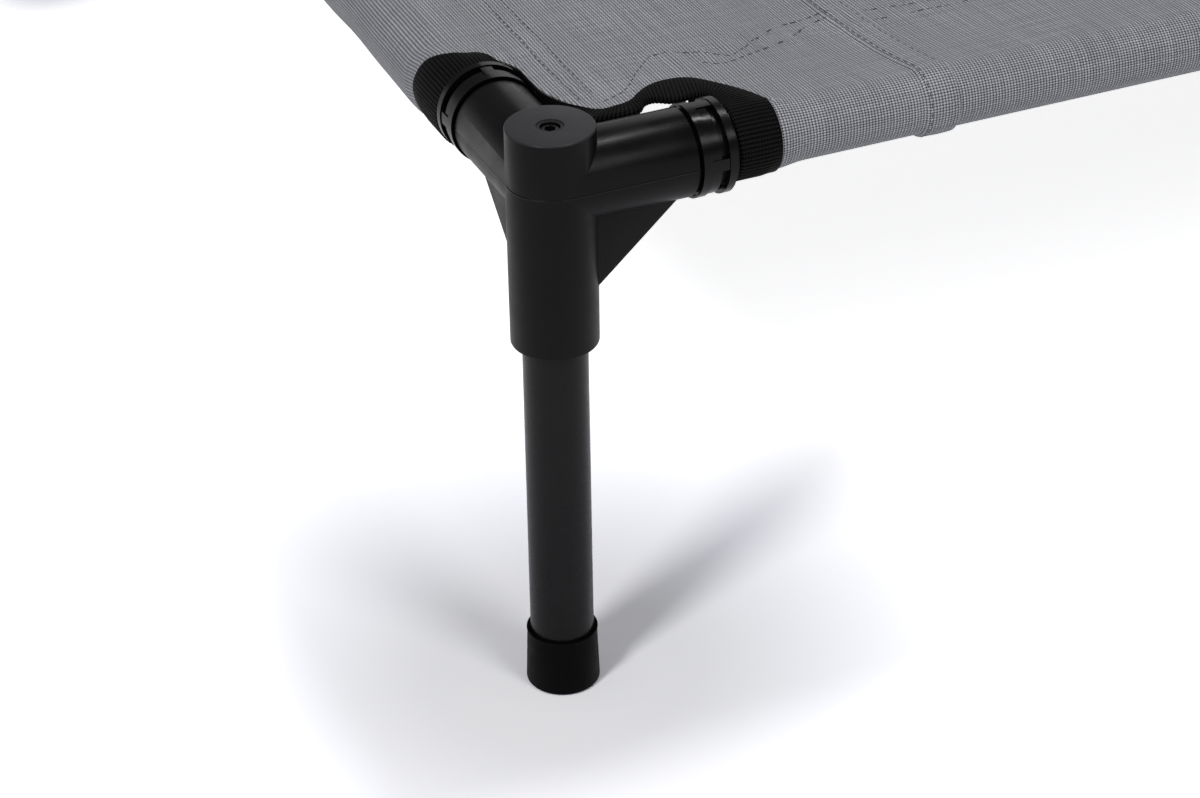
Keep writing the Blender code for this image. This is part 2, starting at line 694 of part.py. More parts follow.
def binding(name, side_x, side_y, material):
    """Webbing folded over the cut edge: a U section carried along the edge."""
    _, far, free = cut_edge(side_x, side_y)
    slot = FABRIC / 2 + CLEARANCE
    bm = bmesh.new()
    loops = []
    for index, (start, edge) in enumerate(zip(far, free)):
        out = (edge - start).normalized()
        at_mouth, at_edge = (out.cross(heading(row, index)).normalized() * (side_x * side_y)
                             for row in (far, free))
        at_fold = (at_mouth + at_edge).normalized()
        width = (edge - start).length
        loops.append([start + out * reach + up * height for reach, up, height in (
            (BINDING_MOUTH, at_mouth, slot), (BINDING_MOUTH, at_mouth, BINDING_HALF),
            (width, at_fold, BINDING_HALF), (width, at_fold, -BINDING_HALF),
            (BINDING_MOUTH, at_mouth, -BINDING_HALF), (BINDING_MOUTH, at_mouth, -slot),
            (width - WEBBING, at_fold, -slot), (width - WEBBING, at_fold, slot))])
    face = bm.faces.new([bm.verts.new(point) for point in loops[0]])
    ring = list(face.verts)
    for points in loops[1:]:
        edges = [bm.edges.get((ring[i], ring[(i + 1) % len(ring)])) for i in range(len(ring))]
        fresh = {item for item in bmesh.ops.extrude_edge_only(bm, edges=edges)["geom"]
                 if isinstance(item, bmesh.types.BMVert)}
        following = []
        for vert, point in zip(ring, points):
            partner = next(edge.other_vert(vert) for edge in vert.link_edges
                           if edge.other_vert(vert) in fresh)
            partner.co = point
            following.append(partner)
        ring = following
    bm.faces.new(ring)
    mesh = mesh_from(bm, name)
    shade_round(mesh)
    return place(name, mesh, material)


# The whole bed

def on_arm(axis, turn):
    """Rotation that lays a part's Z along an arm and turns it about the arm."""
    lay = Matrix.Rotation(math.pi / 2, 3, "Y") if axis == "X" else Matrix.Rotation(-math.pi / 2, 3, "X")
    return (Matrix.Rotation(turn, 3, axis) @ lay).to_euler()


def build():
    """Builds every piece of the bed."""
    clear_scene()
    moulding = finish_material("moulding", (0.012, 0.012, 0.014), 0.42)
    collar_black = finish_material("collar_moulding", (0.010, 0.010, 0.012), 0.30)
    coated_leg = finish_material("coated_leg_steel", (0.013, 0.013, 0.015), 0.35, 0.3)
    coated_rail = finish_material("coated_rail_steel", (0.013, 0.013, 0.015), 0.38, 0.3)
    rubber = finish_material("foot_rubber", (0.006, 0.006, 0.007), 0.70)
    bolt_steel = finish_material("bolt_steel", (0.020, 0.020, 0.022), 0.35, 1.0)
    plug_plastic = finish_material("plug_plastic", (0.020, 0.020, 0.022), 0.50)
    oxford = finish_material("cover_fabric", (0.205, 0.212, 0.232), 0.85)
    webbing = finish_material("binding_webbing", (0.008, 0.008, 0.009), 0.90)

    fitting = fitting_mesh()
    collar = collar_mesh()
    bolt = bolt_mesh()
    plug = plug_mesh()
    foot = foot_mesh()
    leg_low = FOOT_FLOOR + CLEARANCE
    leg = turned("leg_tube", tube_profile(LEG_RADIUS, LEG_TOP - leg_low), TUBE_SEGMENTS)
    quarter = math.pi / 2

    for name, side_x, side_y, turns, collar_on_x, collar_on_y in CORNERS:
        stand = bpy.data.objects.new(f"corner_{name}", None)
        bpy.context.scene.collection.objects.link(stand)
        stand.location = (side_x * LEG_SPACING_X / 2, side_y * LEG_SPACING_Y / 2, 0.0)
        stand.rotation_euler = Euler((0, 0, turns * quarter))
        place(f"corner_fitting_{name}", fitting, moulding, stand)
        place(collar_on_x, collar, collar_black, stand, (COLLAR_START, 0, RAIL_AXIS_HEIGHT),
              on_arm("X", COLLAR_TURN_X))
        place(collar_on_y, collar, collar_black, stand, (0, COLLAR_START, RAIL_AXIS_HEIGHT),
              on_arm("Y", COLLAR_TURN_Y))
        place(f"leg_tube_{name}", leg, coated_leg, stand, (0, 0, leg_low))
        place(f"leg_plug_{name}", plug, plug_plastic, stand)
        place(f"leg_bolt_{name}", bolt, bolt_steel, stand, (0, 0, BOLT_SEAT + CLEARANCE))
        place(f"foot_{name}", foot, rubber, stand)
        binding(f"corner_binding_{name}", side_x, side_y, webbing)

    long_length = LEG_SPACING_X - 2 * RAIL_INSET
    short_length = LEG_SPACING_Y - 2 * RAIL_INSET
    long_rail = turned("long_rail", tube_profile(RAIL_RADIUS, long_length), TUBE_SEGMENTS)
    short_rail = turned("short_rail", tube_profile(RAIL_RADIUS, short_length), TUBE_SEGMENTS)
    for name, side in (("rail_tube_front", -1), ("rail_tube_back", 1)):
        place(name, long_rail, coated_rail,
              location=(-long_length / 2, side * LEG_SPACING_Y / 2, RAIL_AXIS_HEIGHT),
              rotation=(0, quarter, 0))
    for name, side in (("rail_tube_left", -1), ("rail_tube_right", 1)):
        place(name, short_rail, coated_rail,
              location=(side * LEG_SPACING_X / 2, -short_length / 2, RAIL_AXIS_HEIGHT),
              rotation=(-quarter, 0, 0))

    centre_panel(oxford)
    end_panel("cover_end_panel_left", -1, oxford)
    end_panel("cover_end_panel_right", 1, oxford)


build()
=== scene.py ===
"""Raised pet bed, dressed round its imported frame: fittings, collars, legs, cover and bindings.

Metres, +Z up. X runs along the long rails, Y along the short ones, and the bed's centre
stands over the origin, with the feet on Z = 0.
"""

import logging
import math
from dataclasses import dataclass, field
from enum import Enum
from typing import Sequence

import bmesh
import bpy
import numpy as np
from mathutils import Matrix, Vector


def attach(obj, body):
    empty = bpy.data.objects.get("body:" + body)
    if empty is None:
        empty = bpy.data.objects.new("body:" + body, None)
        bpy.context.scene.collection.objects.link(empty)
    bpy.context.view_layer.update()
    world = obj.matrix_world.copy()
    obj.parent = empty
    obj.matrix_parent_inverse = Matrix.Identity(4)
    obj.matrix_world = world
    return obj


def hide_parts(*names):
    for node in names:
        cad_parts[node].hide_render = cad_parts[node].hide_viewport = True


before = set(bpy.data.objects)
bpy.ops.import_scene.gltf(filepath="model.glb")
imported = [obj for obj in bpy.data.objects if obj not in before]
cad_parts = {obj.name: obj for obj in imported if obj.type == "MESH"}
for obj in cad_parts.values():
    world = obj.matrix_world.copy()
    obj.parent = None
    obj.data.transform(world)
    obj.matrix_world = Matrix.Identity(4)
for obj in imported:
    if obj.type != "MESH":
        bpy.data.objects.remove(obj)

LOG = logging.getLogger("pet_bed")
MERGE = 0.00001
QUARTER = math.pi / 2
NOISE = (0.3, 0.7)
WHITE = (1.0, 1.0, 1.0)

Profile = list[tuple[float, float]]


class Slot(Enum):
    """Material slots of the record. The added pieces take their finishes from Finishes, and these
    names are listed but not used.
    """

    MOULDING = "moulding"
    COLLAR = "collar"
    LEG = "leg_steel"
    BOLT = "bolt_steel"
    RUBBER = "rubber"
    FABRIC = "cover_fabric"
    WEBBING = "webbing"


class Rail(Enum):
    """Direction of a rail, and of the arm that holds its end."""

    LONG = "X"
    SHORT = "Y"


# Shared sizes

@dataclass(frozen=True)
class BedSizes:
    """Sizes that several sub-assemblies share."""

    half_x: float = 0.533
    half_y: float = 0.363
    axis: float = 0.2225
    rail_radius: float = 0.012
    leg_radius: float = 0.0125
    tube_wall: float = 0.0012
    clearance: float = 0.0003
    arm_wall: float = 0.00465
    arm_reach: float = 0.0525
    sleeve_wall: float = 0.0042
    socket_web: float = 0.003
    spigot_wall: float = 0.0032
    lip_height: float = 0.0009
    lip_length: float = 0.0011
    collar_gap: float = 0.001
    collar_length: float = 0.0135
    rim_radius: float = 0.0182
    boss_rise: float = 0.0225
    bolt_radius: float = 0.0025
    bolt_head_radius: float = 0.0036
    bolt_head: float = 0.0045
    bolt_sink: float = 0.0012
    fabric: float = 0.0006
    webbing: float = 0.0008
    binding_width: float = 0.018
    binding_gap: float = 0.0011

    @property
    def arm_bore(self) -> float:
        """Radius of the bore that takes a rail."""
        return self.rail_radius + self.clearance

    @property
    def arm_radius(self) -> float:
        """Radius of an arm of the fitting."""
        return self.arm_bore + self.arm_wall

    @property
    def spigot_radius(self) -> float:
        """Radius of the spigot that the collar turns on."""
        return self.arm_bore + self.spigot_wall

    @property
    def collar_start(self) -> float:
        """Where the collar starts along an arm."""
        return self.arm_reach + self.collar_gap

    @property
    def collar_end(self) -> float:
        """Where the collar ends along an arm."""
        return self.collar_start + self.collar_length

    @property
    def lip_start(self) -> float:
        """Where the spigot's retaining lip starts."""
        return self.collar_end + self.clearance

    @property
    def arm_end(self) -> float:
        """Where the spigot ends."""
        return self.lip_start + self.lip_length

    @property
    def leg_bore(self) -> float:
        """Radius of the bores that take a leg."""
        return self.leg_radius + self.clearance

    @property
    def sleeve_radius(self) -> float:
        """Radius of the fitting's sleeve round a leg."""
        return self.leg_bore + self.sleeve_wall

    @property
    def socket_ceiling(self) -> float:
        """Height of the ceiling of the fitting's bore for a leg."""
        return self.axis - self.arm_bore - self.socket_web

    @property
    def boss_top(self) -> float:
        """Height of the boss's flat top."""
        return self.axis + self.boss_rise

    @property
    def bolt_seat(self) -> float:
        """Height of the shoulder that the bolt's head sits over."""
        return self.boss_top - self.bolt_sink - self.bolt_head - self.clearance

    @property
    def cover_radius(self) -> float:
        """Radius of the cloth's middle surface over a rail."""
        return self.rail_radius + self.clearance + self.fabric / 2

    @property
    def cover_lift(self) -> float:
        """How far the cloth stands off the rail where it enters the binding."""
        return self.webbing + self.clearance

    @property
    def binding_half(self) -> float:
        """Half of the bound edge's thickness."""
        return self.fabric / 2 + self.clearance + self.webbing

    @property
    def binding_near(self) -> float:
        """Where the binding starts along a rail, from the leg's axis."""
        return self.arm_end + self.binding_gap

    @property
    def binding_far(self) -> float:
        """Where the binding ends along a rail, from the leg's axis."""
        return self.binding_near + self.binding_width


BED = BedSizes()


@dataclass(frozen=True)
class Corner:
    """One corner of the bed and how the shared corner parts stand there."""

    name: str
    side_x: int
    side_y: int
    turns: int
    collar_on_x: str
    collar_on_y: str

    def stand(self) -> Matrix:
        """Places a part made round the leg's axis."""
        spot = Matrix.Translation((self.side_x * BED.half_x, self.side_y * BED.half_y, 0.0))
        return spot @ Matrix.Rotation(self.turns * QUARTER, 4, "Z")


CORNERS = (
    Corner("front_left", -1, -1, 0, "front_rail_collar_left", "left_rail_collar_front"),
    Corner("front_right", 1, -1, 1, "right_rail_collar_front", "front_rail_collar_right"),
    Corner("back_right", 1, 1, 2, "back_rail_collar_right", "right_rail_collar_back"),
    Corner("back_left", -1, 1, 3, "left_rail_collar_back", "back_rail_collar_left"),
)

LAY = {Rail.LONG: Matrix.Rotation(QUARTER, 4, "Y"), Rail.SHORT: Matrix.Rotation(-QUARTER, 4, "X")}


# Mesh helpers

def fillet(points: Sequence[tuple[float, float, float]], steps: int = 4) -> Profile:
    """Rounds the corners of a section.

    Args:
        points: (radius, height, rounding) for each corner; a rounding of 0 stays sharp.
        steps: Segments of each rounding.

    Returns:
        The section's (radius, height) pairs.
    """
    section: Profile = []
    for index, (x, z, rounding) in enumerate(points):
        here = Vector((x, z))
        if rounding <= 0.0 or not 0 < index < len(points) - 1:
            section.append((x, z))
            continue
        before = (Vector(points[index - 1][:2]) - here).normalized()
        after = (Vector(points[index + 1][:2]) - here).normalized()
        half = before.angle(after) / 2
        start = here + before * (rounding / math.tan(half))
        end = here + after * (rounding / math.tan(half))
        centre = here + (before + after).normalized() * (rounding / math.sin(half))
        for step in range(steps + 1):
            chord = start.lerp(end, step / steps) - centre
            section.append(tuple(centre + chord.normalized() * rounding))
    return section


def turned(profile: Profile, segments: int, hollow: bool = False) -> bmesh.types.BMesh:
    """Turns a section about Z.

    Args:
        profile: (radius, height) pairs.
        segments: Steps of the full turn.
        hollow: Whether the section is a closed loop.

    Returns:
        The turned shape, its faces outwards.
    """
    bm = bmesh.new()
    verts = [bm.verts.new((radius, 0.0, height)) for radius, height in profile]
    ends = verts[1:] + verts[:1] if hollow else verts[1:]
    edges = [bm.edges.new(pair) for pair in zip(verts, ends)]
    bmesh.ops.spin(bm, geom=verts + edges, cent=(0, 0, 0), axis=(0, 0, 1),
                   angle=math.tau, steps=segments, use_merge=True)
    bmesh.ops.remove_doubles(bm, verts=bm.verts, dist=MERGE)
    poles = [vert for vert in bm.verts if vert.co.xy.length < MERGE]
    bmesh.ops.dissolve_verts(bm, verts=poles)
    bmesh.ops.recalc_face_normals(bm, faces=bm.faces)
    return bm


def finished_mesh(bm: bmesh.types.BMesh, name: str, sharp: float = 35.0) -> bpy.types.Mesh:
    """Turns a bmesh into a smooth-shaded mesh whose corners stay sharp.

    Args:
        bm: The shape; it is freed.
        name: Name of the mesh.
        sharp: Angle in degrees above which an edge stays sharp.

    Returns:
        The mesh.
    """
    mesh = bpy.data.meshes.new(name)
    bm.to_mesh(mesh)
    bm.free()
    mesh.shade_smooth()
    mesh.set_sharp_from_angle(angle=math.radians(sharp))
    return mesh


def cloth_grid(points: np.ndarray, flat: np.ndarray,
               kept: np.ndarray | None = None) -> bmesh.types.BMesh:
    """Lays a grid over a table of points.

    Args:
        points: Places of the grid's vertices, columns by rows by 3.
        flat: Their places on the flat cut in metres, columns by rows by 2.
        kept: Which of the grid's cells exist, or None for all.

    Returns:
        The sheet, with the flat places as its UV map.
    """
    columns, rows = points.shape[0] - 1, points.shape[1] - 1
    bm = bmesh.new()
    bmesh.ops.create_grid(bm, x_segments=columns, y_segments=rows, size=1.0)
    layer = bm.loops.layers.uv.new("flat")
    spread = max(vert.co.x for vert in bm.verts)
    spots = {vert: (round((vert.co.x / spread + 1) / 2 * columns),
                    round((vert.co.y / spread + 1) / 2 * rows)) for vert in bm.verts}
    gone = []
    for face in bm.faces:
        corner = min(spots[vert] for vert in face.verts)
        if kept is not None and not kept[corner]:
            gone.append(face)
        for loop in face.loops:
            loop[layer].uv = flat[spots[loop.vert]]
    for vert, spot in spots.items():
        vert.co = points[spot]
    bmesh.ops.delete(bm, geom=gone, context="FACES")
    bmesh.ops.recalc_face_normals(bm, faces=bm.faces)
    return bm


def smooth_curve(points: np.ndarray, steps: int = 5) -> np.ndarray:
    """Points on a Catmull-Rom curve through the given ones."""
    run = np.vstack([2 * points[0] - points[1], points, 2 * points[-1] - points[-2]])
    found = []
    for before, here, after, beyond in zip(run, run[1:], run[2:], run[3:]):
        for step in range(steps):
            t = step / steps
            found.append(0.5 * (2 * here + (after - before) * t
                                + (2 * before - 5 * here + 4 * after - beyond) * t * t
                                + (3 * here - before - 3 * after + beyond) * t ** 3))
    return np.array(found + [points[-1]])


def stood(shared: bpy.types.Mesh, corner: Corner, lay: Matrix = Matrix()) -> bpy.types.Mesh:
    """A copy of a shared mesh, laid as given and stood at a corner."""
    mesh = shared.copy()
    mesh.transform(corner.stand() @ lay)
    return mesh


def linked(name: str, data: bpy.types.ID) -> bpy.types.Object:
    """A new object of the scene, at the origin."""
    made = bpy.data.objects.new(name, data)
    bpy.context.scene.collection.objects.link(made)
    return made


def add_piece(name: str, mesh: bpy.types.Mesh, material: bpy.types.Material,
              body: str = "frame", stands_for: Sequence[str] = ()) -> bpy.types.Object:
    """Adds a piece at the origin, riding on a body.

    Args:
        name: Name of the piece.
        mesh: Its mesh, already in place.
        material: Its finish.
        body: Body of the frame that it moves with.
        stands_for: Nodes of the frame that it replaces.

    Returns:
        The new object.
    """
    piece = linked(name, mesh)
    mesh.materials.append(material)
    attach(piece, body)
    if stands_for:
        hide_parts(*stands_for)
    LOG.info("%s: %d faces on %s", name, len(mesh.polygons), body)
    return piece


def ripple(a: np.ndarray, b: np.ndarray, length: float, seed: float = 0.0) -> np.ndarray:
    """Smooth uneven waves between about -1 and 1.

    Args:
        a: First coordinate.
        b: Second coordinate.
        length: Rough length of a wave.
        seed: Shifts the pattern.

    Returns:
        The waves' height at each place.
    """
    p, q = a / length * math.tau, b / length * math.tau
    return (np.sin(0.83 * p + 0.41 * q + 1.3 + seed) + np.sin(-0.57 * p + 0.92 * q + 4.1 - seed)
            + np.sin(1.31 * p - 0.74 * q + 2.2 + 2.7 * seed)) / 3


def ease(value: np.ndarray | float) -> np.ndarray | float:
    """Smooth step from 0 to 1."""
    t = np.clip(value, 0.0, 1.0)
    return t * t * (3 - 2 * t)


# Finishes

class Nodes:
    """Short calls for the nodes that a tree is made of."""

    def __init__(self, tree: bpy.types.NodeTree) -> None:
        """Works on a tree."""
        self.tree = tree

    def node(self, kind: str, **settings: object) -> bpy.types.Node:
        """Adds a node and sets its properties."""
        made = self.tree.nodes.new(kind)
        for key, value in settings.items():
            setattr(made, key, value)
        return made

    def feed(self, socket: bpy.types.NodeSocket, value: object) -> None:
        """Links an output to a socket, or sets the socket's own value."""
        if isinstance(value, bpy.types.NodeSocket):
            self.tree.links.new(value, socket)
        else:
            socket.default_value = value

    def sums(self, operation: str, *values: object) -> bpy.types.NodeSocket:
        """One Math node."""
        made = self.node("ShaderNodeMath", operation=operation)
        for socket, value in zip(made.inputs, values):
            self.feed(socket, value)
        return made.outputs[0]

    def place(self) -> bpy.types.NodeSocket:
        """Object coordinates."""
        return self.node("ShaderNodeTexCoord").outputs["Object"]

    def flat(self) -> bpy.types.NodeSocket:
        """Coordinates on the flat cut."""
        return self.node("ShaderNodeUVMap", uv_map="flat").outputs["UV"]

    def stretch(self, vector: bpy.types.NodeSocket,
                scale: tuple[float, float, float]) -> bpy.types.NodeSocket:
        """Scales coordinates by a Mapping node."""
        made = self.node("ShaderNodeMapping")
        self.feed(made.inputs["Vector"], vector)
        made.inputs["Scale"].default_value = scale
        return made.outputs[0]

    def parts(self, vector: bpy.types.NodeSocket) -> tuple[bpy.types.NodeSocket, ...]:
        """Splits coordinates."""
        made = self.node("ShaderNodeSeparateXYZ")
        self.feed(made.inputs[0], vector)
        return tuple(made.outputs)

    def speckle(self, vector: bpy.types.NodeSocket, size: float, detail: float = 2.0,
                rough: float = 0.5) -> bpy.types.NodeSocket:
        """Noise whose grains measure about size in metres."""
        made = self.node("ShaderNodeTexNoise")
        self.feed(made.inputs["Vector"], vector)
        made.inputs["Scale"].default_value = 1.0 / size
        made.inputs["Detail"].default_value = detail
        made.inputs["Roughness"].default_value = rough
        return made.outputs[0]

    def span(self, value: bpy.types.NodeSocket, low: float, high: float, to_low: float = 0.0,
             to_high: float = 1.0) -> bpy.types.NodeSocket:
        """Maps a range of values to another."""
        made = self.node("ShaderNodeMapRange")
        for socket, given in zip(made.inputs, (value, low, high, to_low, to_high)):
            self.feed(socket, given)
        return made.outputs[0]

    def blend(self, share: object, first: Sequence[float] | bpy.types.NodeSocket,
              second: Sequence[float] | bpy.types.NodeSocket) -> bpy.types.NodeSocket:
        """Mixes two colours."""
        made = self.node("ShaderNodeMix", data_type="RGBA")
        self.feed(made.inputs[0], share)
        for socket, colour in ((made.inputs[6], first), (made.inputs[7], second)):
            plain = not isinstance(colour, bpy.types.NodeSocket)
            self.feed(socket, (*colour, 1.0) if plain else colour)
        return made.outputs[2]

    def mottle(self, noise: bpy.types.NodeSocket, colour: Sequence[float],
               tints: tuple[float, float],
               spread: tuple[float, float] = NOISE) -> bpy.types.NodeSocket:
        """A colour that drifts with a noise between two shades of itself."""
        return self.blend(self.span(noise, *spread), *(shade(colour, part) for part in tints))

    def relief(self, height: bpy.types.NodeSocket, depth: float,
               under: bpy.types.NodeSocket | None = None) -> bpy.types.NodeSocket:
        """A bump of a given depth in metres, over another one."""
        made = self.node("ShaderNodeBump")
        made.inputs["Distance"].default_value = depth
        made.inputs["Strength"].default_value = 1.0
        self.feed(made.inputs["Height"], height)
        if under is not None:
            self.feed(made.inputs["Normal"], under)
        return made.outputs[0]

    def soft_edges(self, radius: float) -> bpy.types.NodeSocket:
        """Normals that round the edges off by a small radius."""
        made = self.node("ShaderNodeBevel", samples=6)
        made.inputs["Radius"].default_value = radius
        return made.outputs[0]

    def seen(self) -> tuple[bpy.types.NodeSocket, bpy.types.NodeSocket]:
        """1 for what is seen at all, and 1 for what is seen in gloss or through glass."""
        path = self.node("ShaderNodeLightPath").outputs
        again = self.sums("MAXIMUM", path["Is Glossy Ray"], path["Is Transmission Ray"])
        return self.sums("MAXIMUM", path["Is Camera Ray"], again), again


class Recipe(Nodes):
    """Node tree of one material with a Principled surface."""

    def __init__(self, name: str) -> None:
        """Starts a material."""
        self.material = bpy.data.materials.new(name)
        self.material.use_nodes = True
        super().__init__(self.material.node_tree)
        self.surface = self.tree.nodes["Principled BSDF"]

    def set(self, **values: object) -> None:
        """Feeds the surface's sockets, named with underscores for spaces."""
        for key, value in values.items():
            self.feed(self.surface.inputs[key.replace("_", " ")], value)


def shade(colour: Sequence[float], factor: float) -> tuple[float, ...]:
    """A colour made lighter or darker."""
    return tuple(part * factor for part in colour)


@dataclass(frozen=True)
class MouldedPlastic:
    """Black glass-filled plastic: a fine grain, dull on the flats and shinier on the arms. The
    boss's flat top is painted lighter, a painted highlight of the lamp above.
    """

    name: str
    colour: tuple[float, float, float]
    # Colour of the boss's flat top: a painted highlight.
    painted_highlight_top_colour: tuple[float, float, float]
    roughness: float
    arm_roughness: float
    specular: float
    grain: float = 0.0005
    grain_depth: float = 0.000012
    edge: float = 0.0003
    patch: float = 0.012
    unevenness: float = 0.05
    tints: tuple[float, float] = (0.88, 1.15)
    upper_band: float = 0.0005
    line_rise: float = 0.0002
    line_half: float = 0.00040
    line_depth: float = 0.00016
    painted_highlight_top_band: tuple[float, float] = (0.0008, 0.0002)

    def material(self) -> bpy.types.Material:
        """Builds the material."""
        recipe = Recipe(self.name)
        spot = recipe.place()
        grain = recipe.speckle(spot, self.grain, 3.0)
        cloud = recipe.speckle(spot, self.patch)
        arm = recipe.node("ShaderNodeAttribute", attribute_name="arm").outputs["Fac"]
        height = recipe.parts(spot)[2]
        upper = recipe.span(height, BED.axis - self.upper_band, BED.axis + self.upper_band)
        dull = recipe.span(cloud, *NOISE, self.roughness - self.unevenness,
                           self.roughness + self.unevenness)
        glossy = recipe.sums("MULTIPLY", arm, upper)
        rough = recipe.sums("MULTIPLY_ADD", glossy, self.arm_roughness - self.roughness, dull)
        line = recipe.sums("SUBTRACT", height, BED.axis + self.line_rise)
        line = recipe.span(recipe.sums("ABSOLUTE", line), 0.0, self.line_half, 1.0, 0.0)
        tint = recipe.mottle(cloud, self.colour, self.tints)
        # Painted highlight: the band at the boss's top takes a lighter colour, as if lit by the
        # lamp above.
        top = recipe.span(height, *(BED.boss_top - depth for depth in self.painted_highlight_top_band))
        tint = recipe.blend(top, tint, self.painted_highlight_top_colour)
        bump = recipe.relief(grain, self.grain_depth, recipe.soft_edges(self.edge))
        bump = recipe.relief(line, self.line_depth, bump)
        recipe.set(Base_Color=tint, Roughness=rough, Normal=bump,
                   Specular_IOR_Level=self.specular)
        return recipe.material


@dataclass(frozen=True)
class PlainPlastic:
    """Black plastic or rubber with a fine grain and faint scuffs."""

    name: str
    colour: tuple[float, float, float]
    roughness: float
    specular: float
    metallic: float = 0.0
    grain: float = 0.0004
    grain_depth: float = 0.00001
    patch: float = 0.009
    scuff: float = 0.0014
    scuff_stretch: float = 0.18
    scuff_spread: tuple[float, float] = (0.55, 0.75)
    unevenness: float = 0.06
    tints: tuple[float, float] = (0.85, 1.2)

    def material(self) -> bpy.types.Material:
        """Builds the material."""
        recipe = Recipe(self.name)
        spot = recipe.place()
        grain = recipe.speckle(spot, self.grain, 3.0)
        cloud = recipe.speckle(spot, self.patch, 3.0, 0.6)
        scuffs = recipe.speckle(recipe.stretch(spot, (1.0, 1.0, self.scuff_stretch)), self.scuff)
        tint = recipe.mottle(cloud, self.colour, self.tints)
        worn = recipe.sums("ADD",
                           recipe.span(cloud, *NOISE, -self.unevenness, self.unevenness),
                           recipe.span(scuffs, *self.scuff_spread, 0.0, self.unevenness))
        recipe.set(Base_Color=tint, Roughness=recipe.sums("ADD", worn, self.roughness),
                   Normal=recipe.relief(grain, self.grain_depth),
                   Specular_IOR_Level=self.specular, Metallic=self.metallic)
        return recipe.material


@dataclass(frozen=True)
class WovenCloth:
    """Coated Oxford cloth: a coarse plain weave of grey yarns, with painted shade darkening the
    gaps between them.
    """

    name: str
    colour: tuple[float, float, float]
    # Colour where the weave dips between the yarns: painted shade.
    gap: tuple[float, float, float]
    pitch_u: float = 0.00129
    pitch_v: float = 0.0010
    depth: float = 0.00030
    roughness: float = 0.62
    specular: float = 0.20
    sheen: float = 0.05
    sheen_roughness: float = 0.5
    drift: float = 0.35
    drift_patch: float = 0.010
    yarn_power: float = 1.05
    yarn_span: tuple[float, float] = (0.28, 0.96)
    slub_stretch: float = 0.03
    slub_spread: tuple[float, float] = (0.35, 0.65)
    slub_tints: tuple[float, float] = (0.78, 1.25)
    patch: float = 0.05
    patch_share: float = 0.5
    patch_tint: float = 0.94
    fibre: float = 0.00025
    fibre_depth: float = 0.00003

    def material(self) -> bpy.types.Material:
        """Builds the material."""
        recipe = Recipe(self.name)
        flat = recipe.flat()
        drift = recipe.speckle(flat, self.drift_patch)
        u, v, _ = recipe.parts(flat)
        drifted = recipe.span(drift, 0.0, 1.0, -self.drift, self.drift)
        u = recipe.sums("MULTIPLY_ADD", u, math.pi / self.pitch_u, drifted)
        v = recipe.sums("MULTIPLY_ADD", v, math.pi / self.pitch_v, drifted)
        wave_u, wave_v = recipe.sums("SINE", u), recipe.sums("SINE", v)
        over = recipe.sums("MULTIPLY_ADD", recipe.sums("MULTIPLY", wave_u, wave_v), 0.5, 0.5)
        warp, weft = (recipe.sums("POWER", recipe.sums("ABSOLUTE", wave), self.yarn_power)
                      for wave in (wave_u, wave_v))
        under = recipe.sums("SUBTRACT", 1.0, over)
        height = recipe.sums("ADD", recipe.sums("MULTIPLY", warp, over),
                             recipe.sums("MULTIPLY", weft, under))
        across = recipe.stretch(flat, (1.0, self.slub_stretch, 1.0))
        across = recipe.speckle(across, self.pitch_u, 1.0)
        along = recipe.stretch(flat, (self.slub_stretch, 1.0, 1.0))
        along = recipe.speckle(along, self.pitch_v, 1.0)
        slubs = recipe.sums("ADD", recipe.sums("MULTIPLY", across, over),
                            recipe.sums("MULTIPLY", along, under))
        cloud = recipe.speckle(recipe.place(), self.patch, 3.0)
        fibre = recipe.speckle(flat, self.fibre)
        yarn = recipe.mottle(slubs, self.colour, self.slub_tints, self.slub_spread)
        yarn = recipe.blend(recipe.span(cloud, *self.slub_spread, 0.0, self.patch_share), yarn,
                            shade(self.colour, self.patch_tint))
        # Painted shade: where the weave's height is low, between the yarns, the colour goes dark.
        tint = recipe.blend(recipe.span(height, *self.yarn_span), self.gap, yarn)
        bump = recipe.relief(height, self.depth)
        bump = recipe.relief(fibre, self.fibre_depth, bump)
        recipe.set(Base_Color=tint, Roughness=self.roughness, Normal=bump,
                   Specular_IOR_Level=self.specular, Sheen_Weight=self.sheen,
                   Sheen_Roughness=self.sheen_roughness)
        return recipe.material


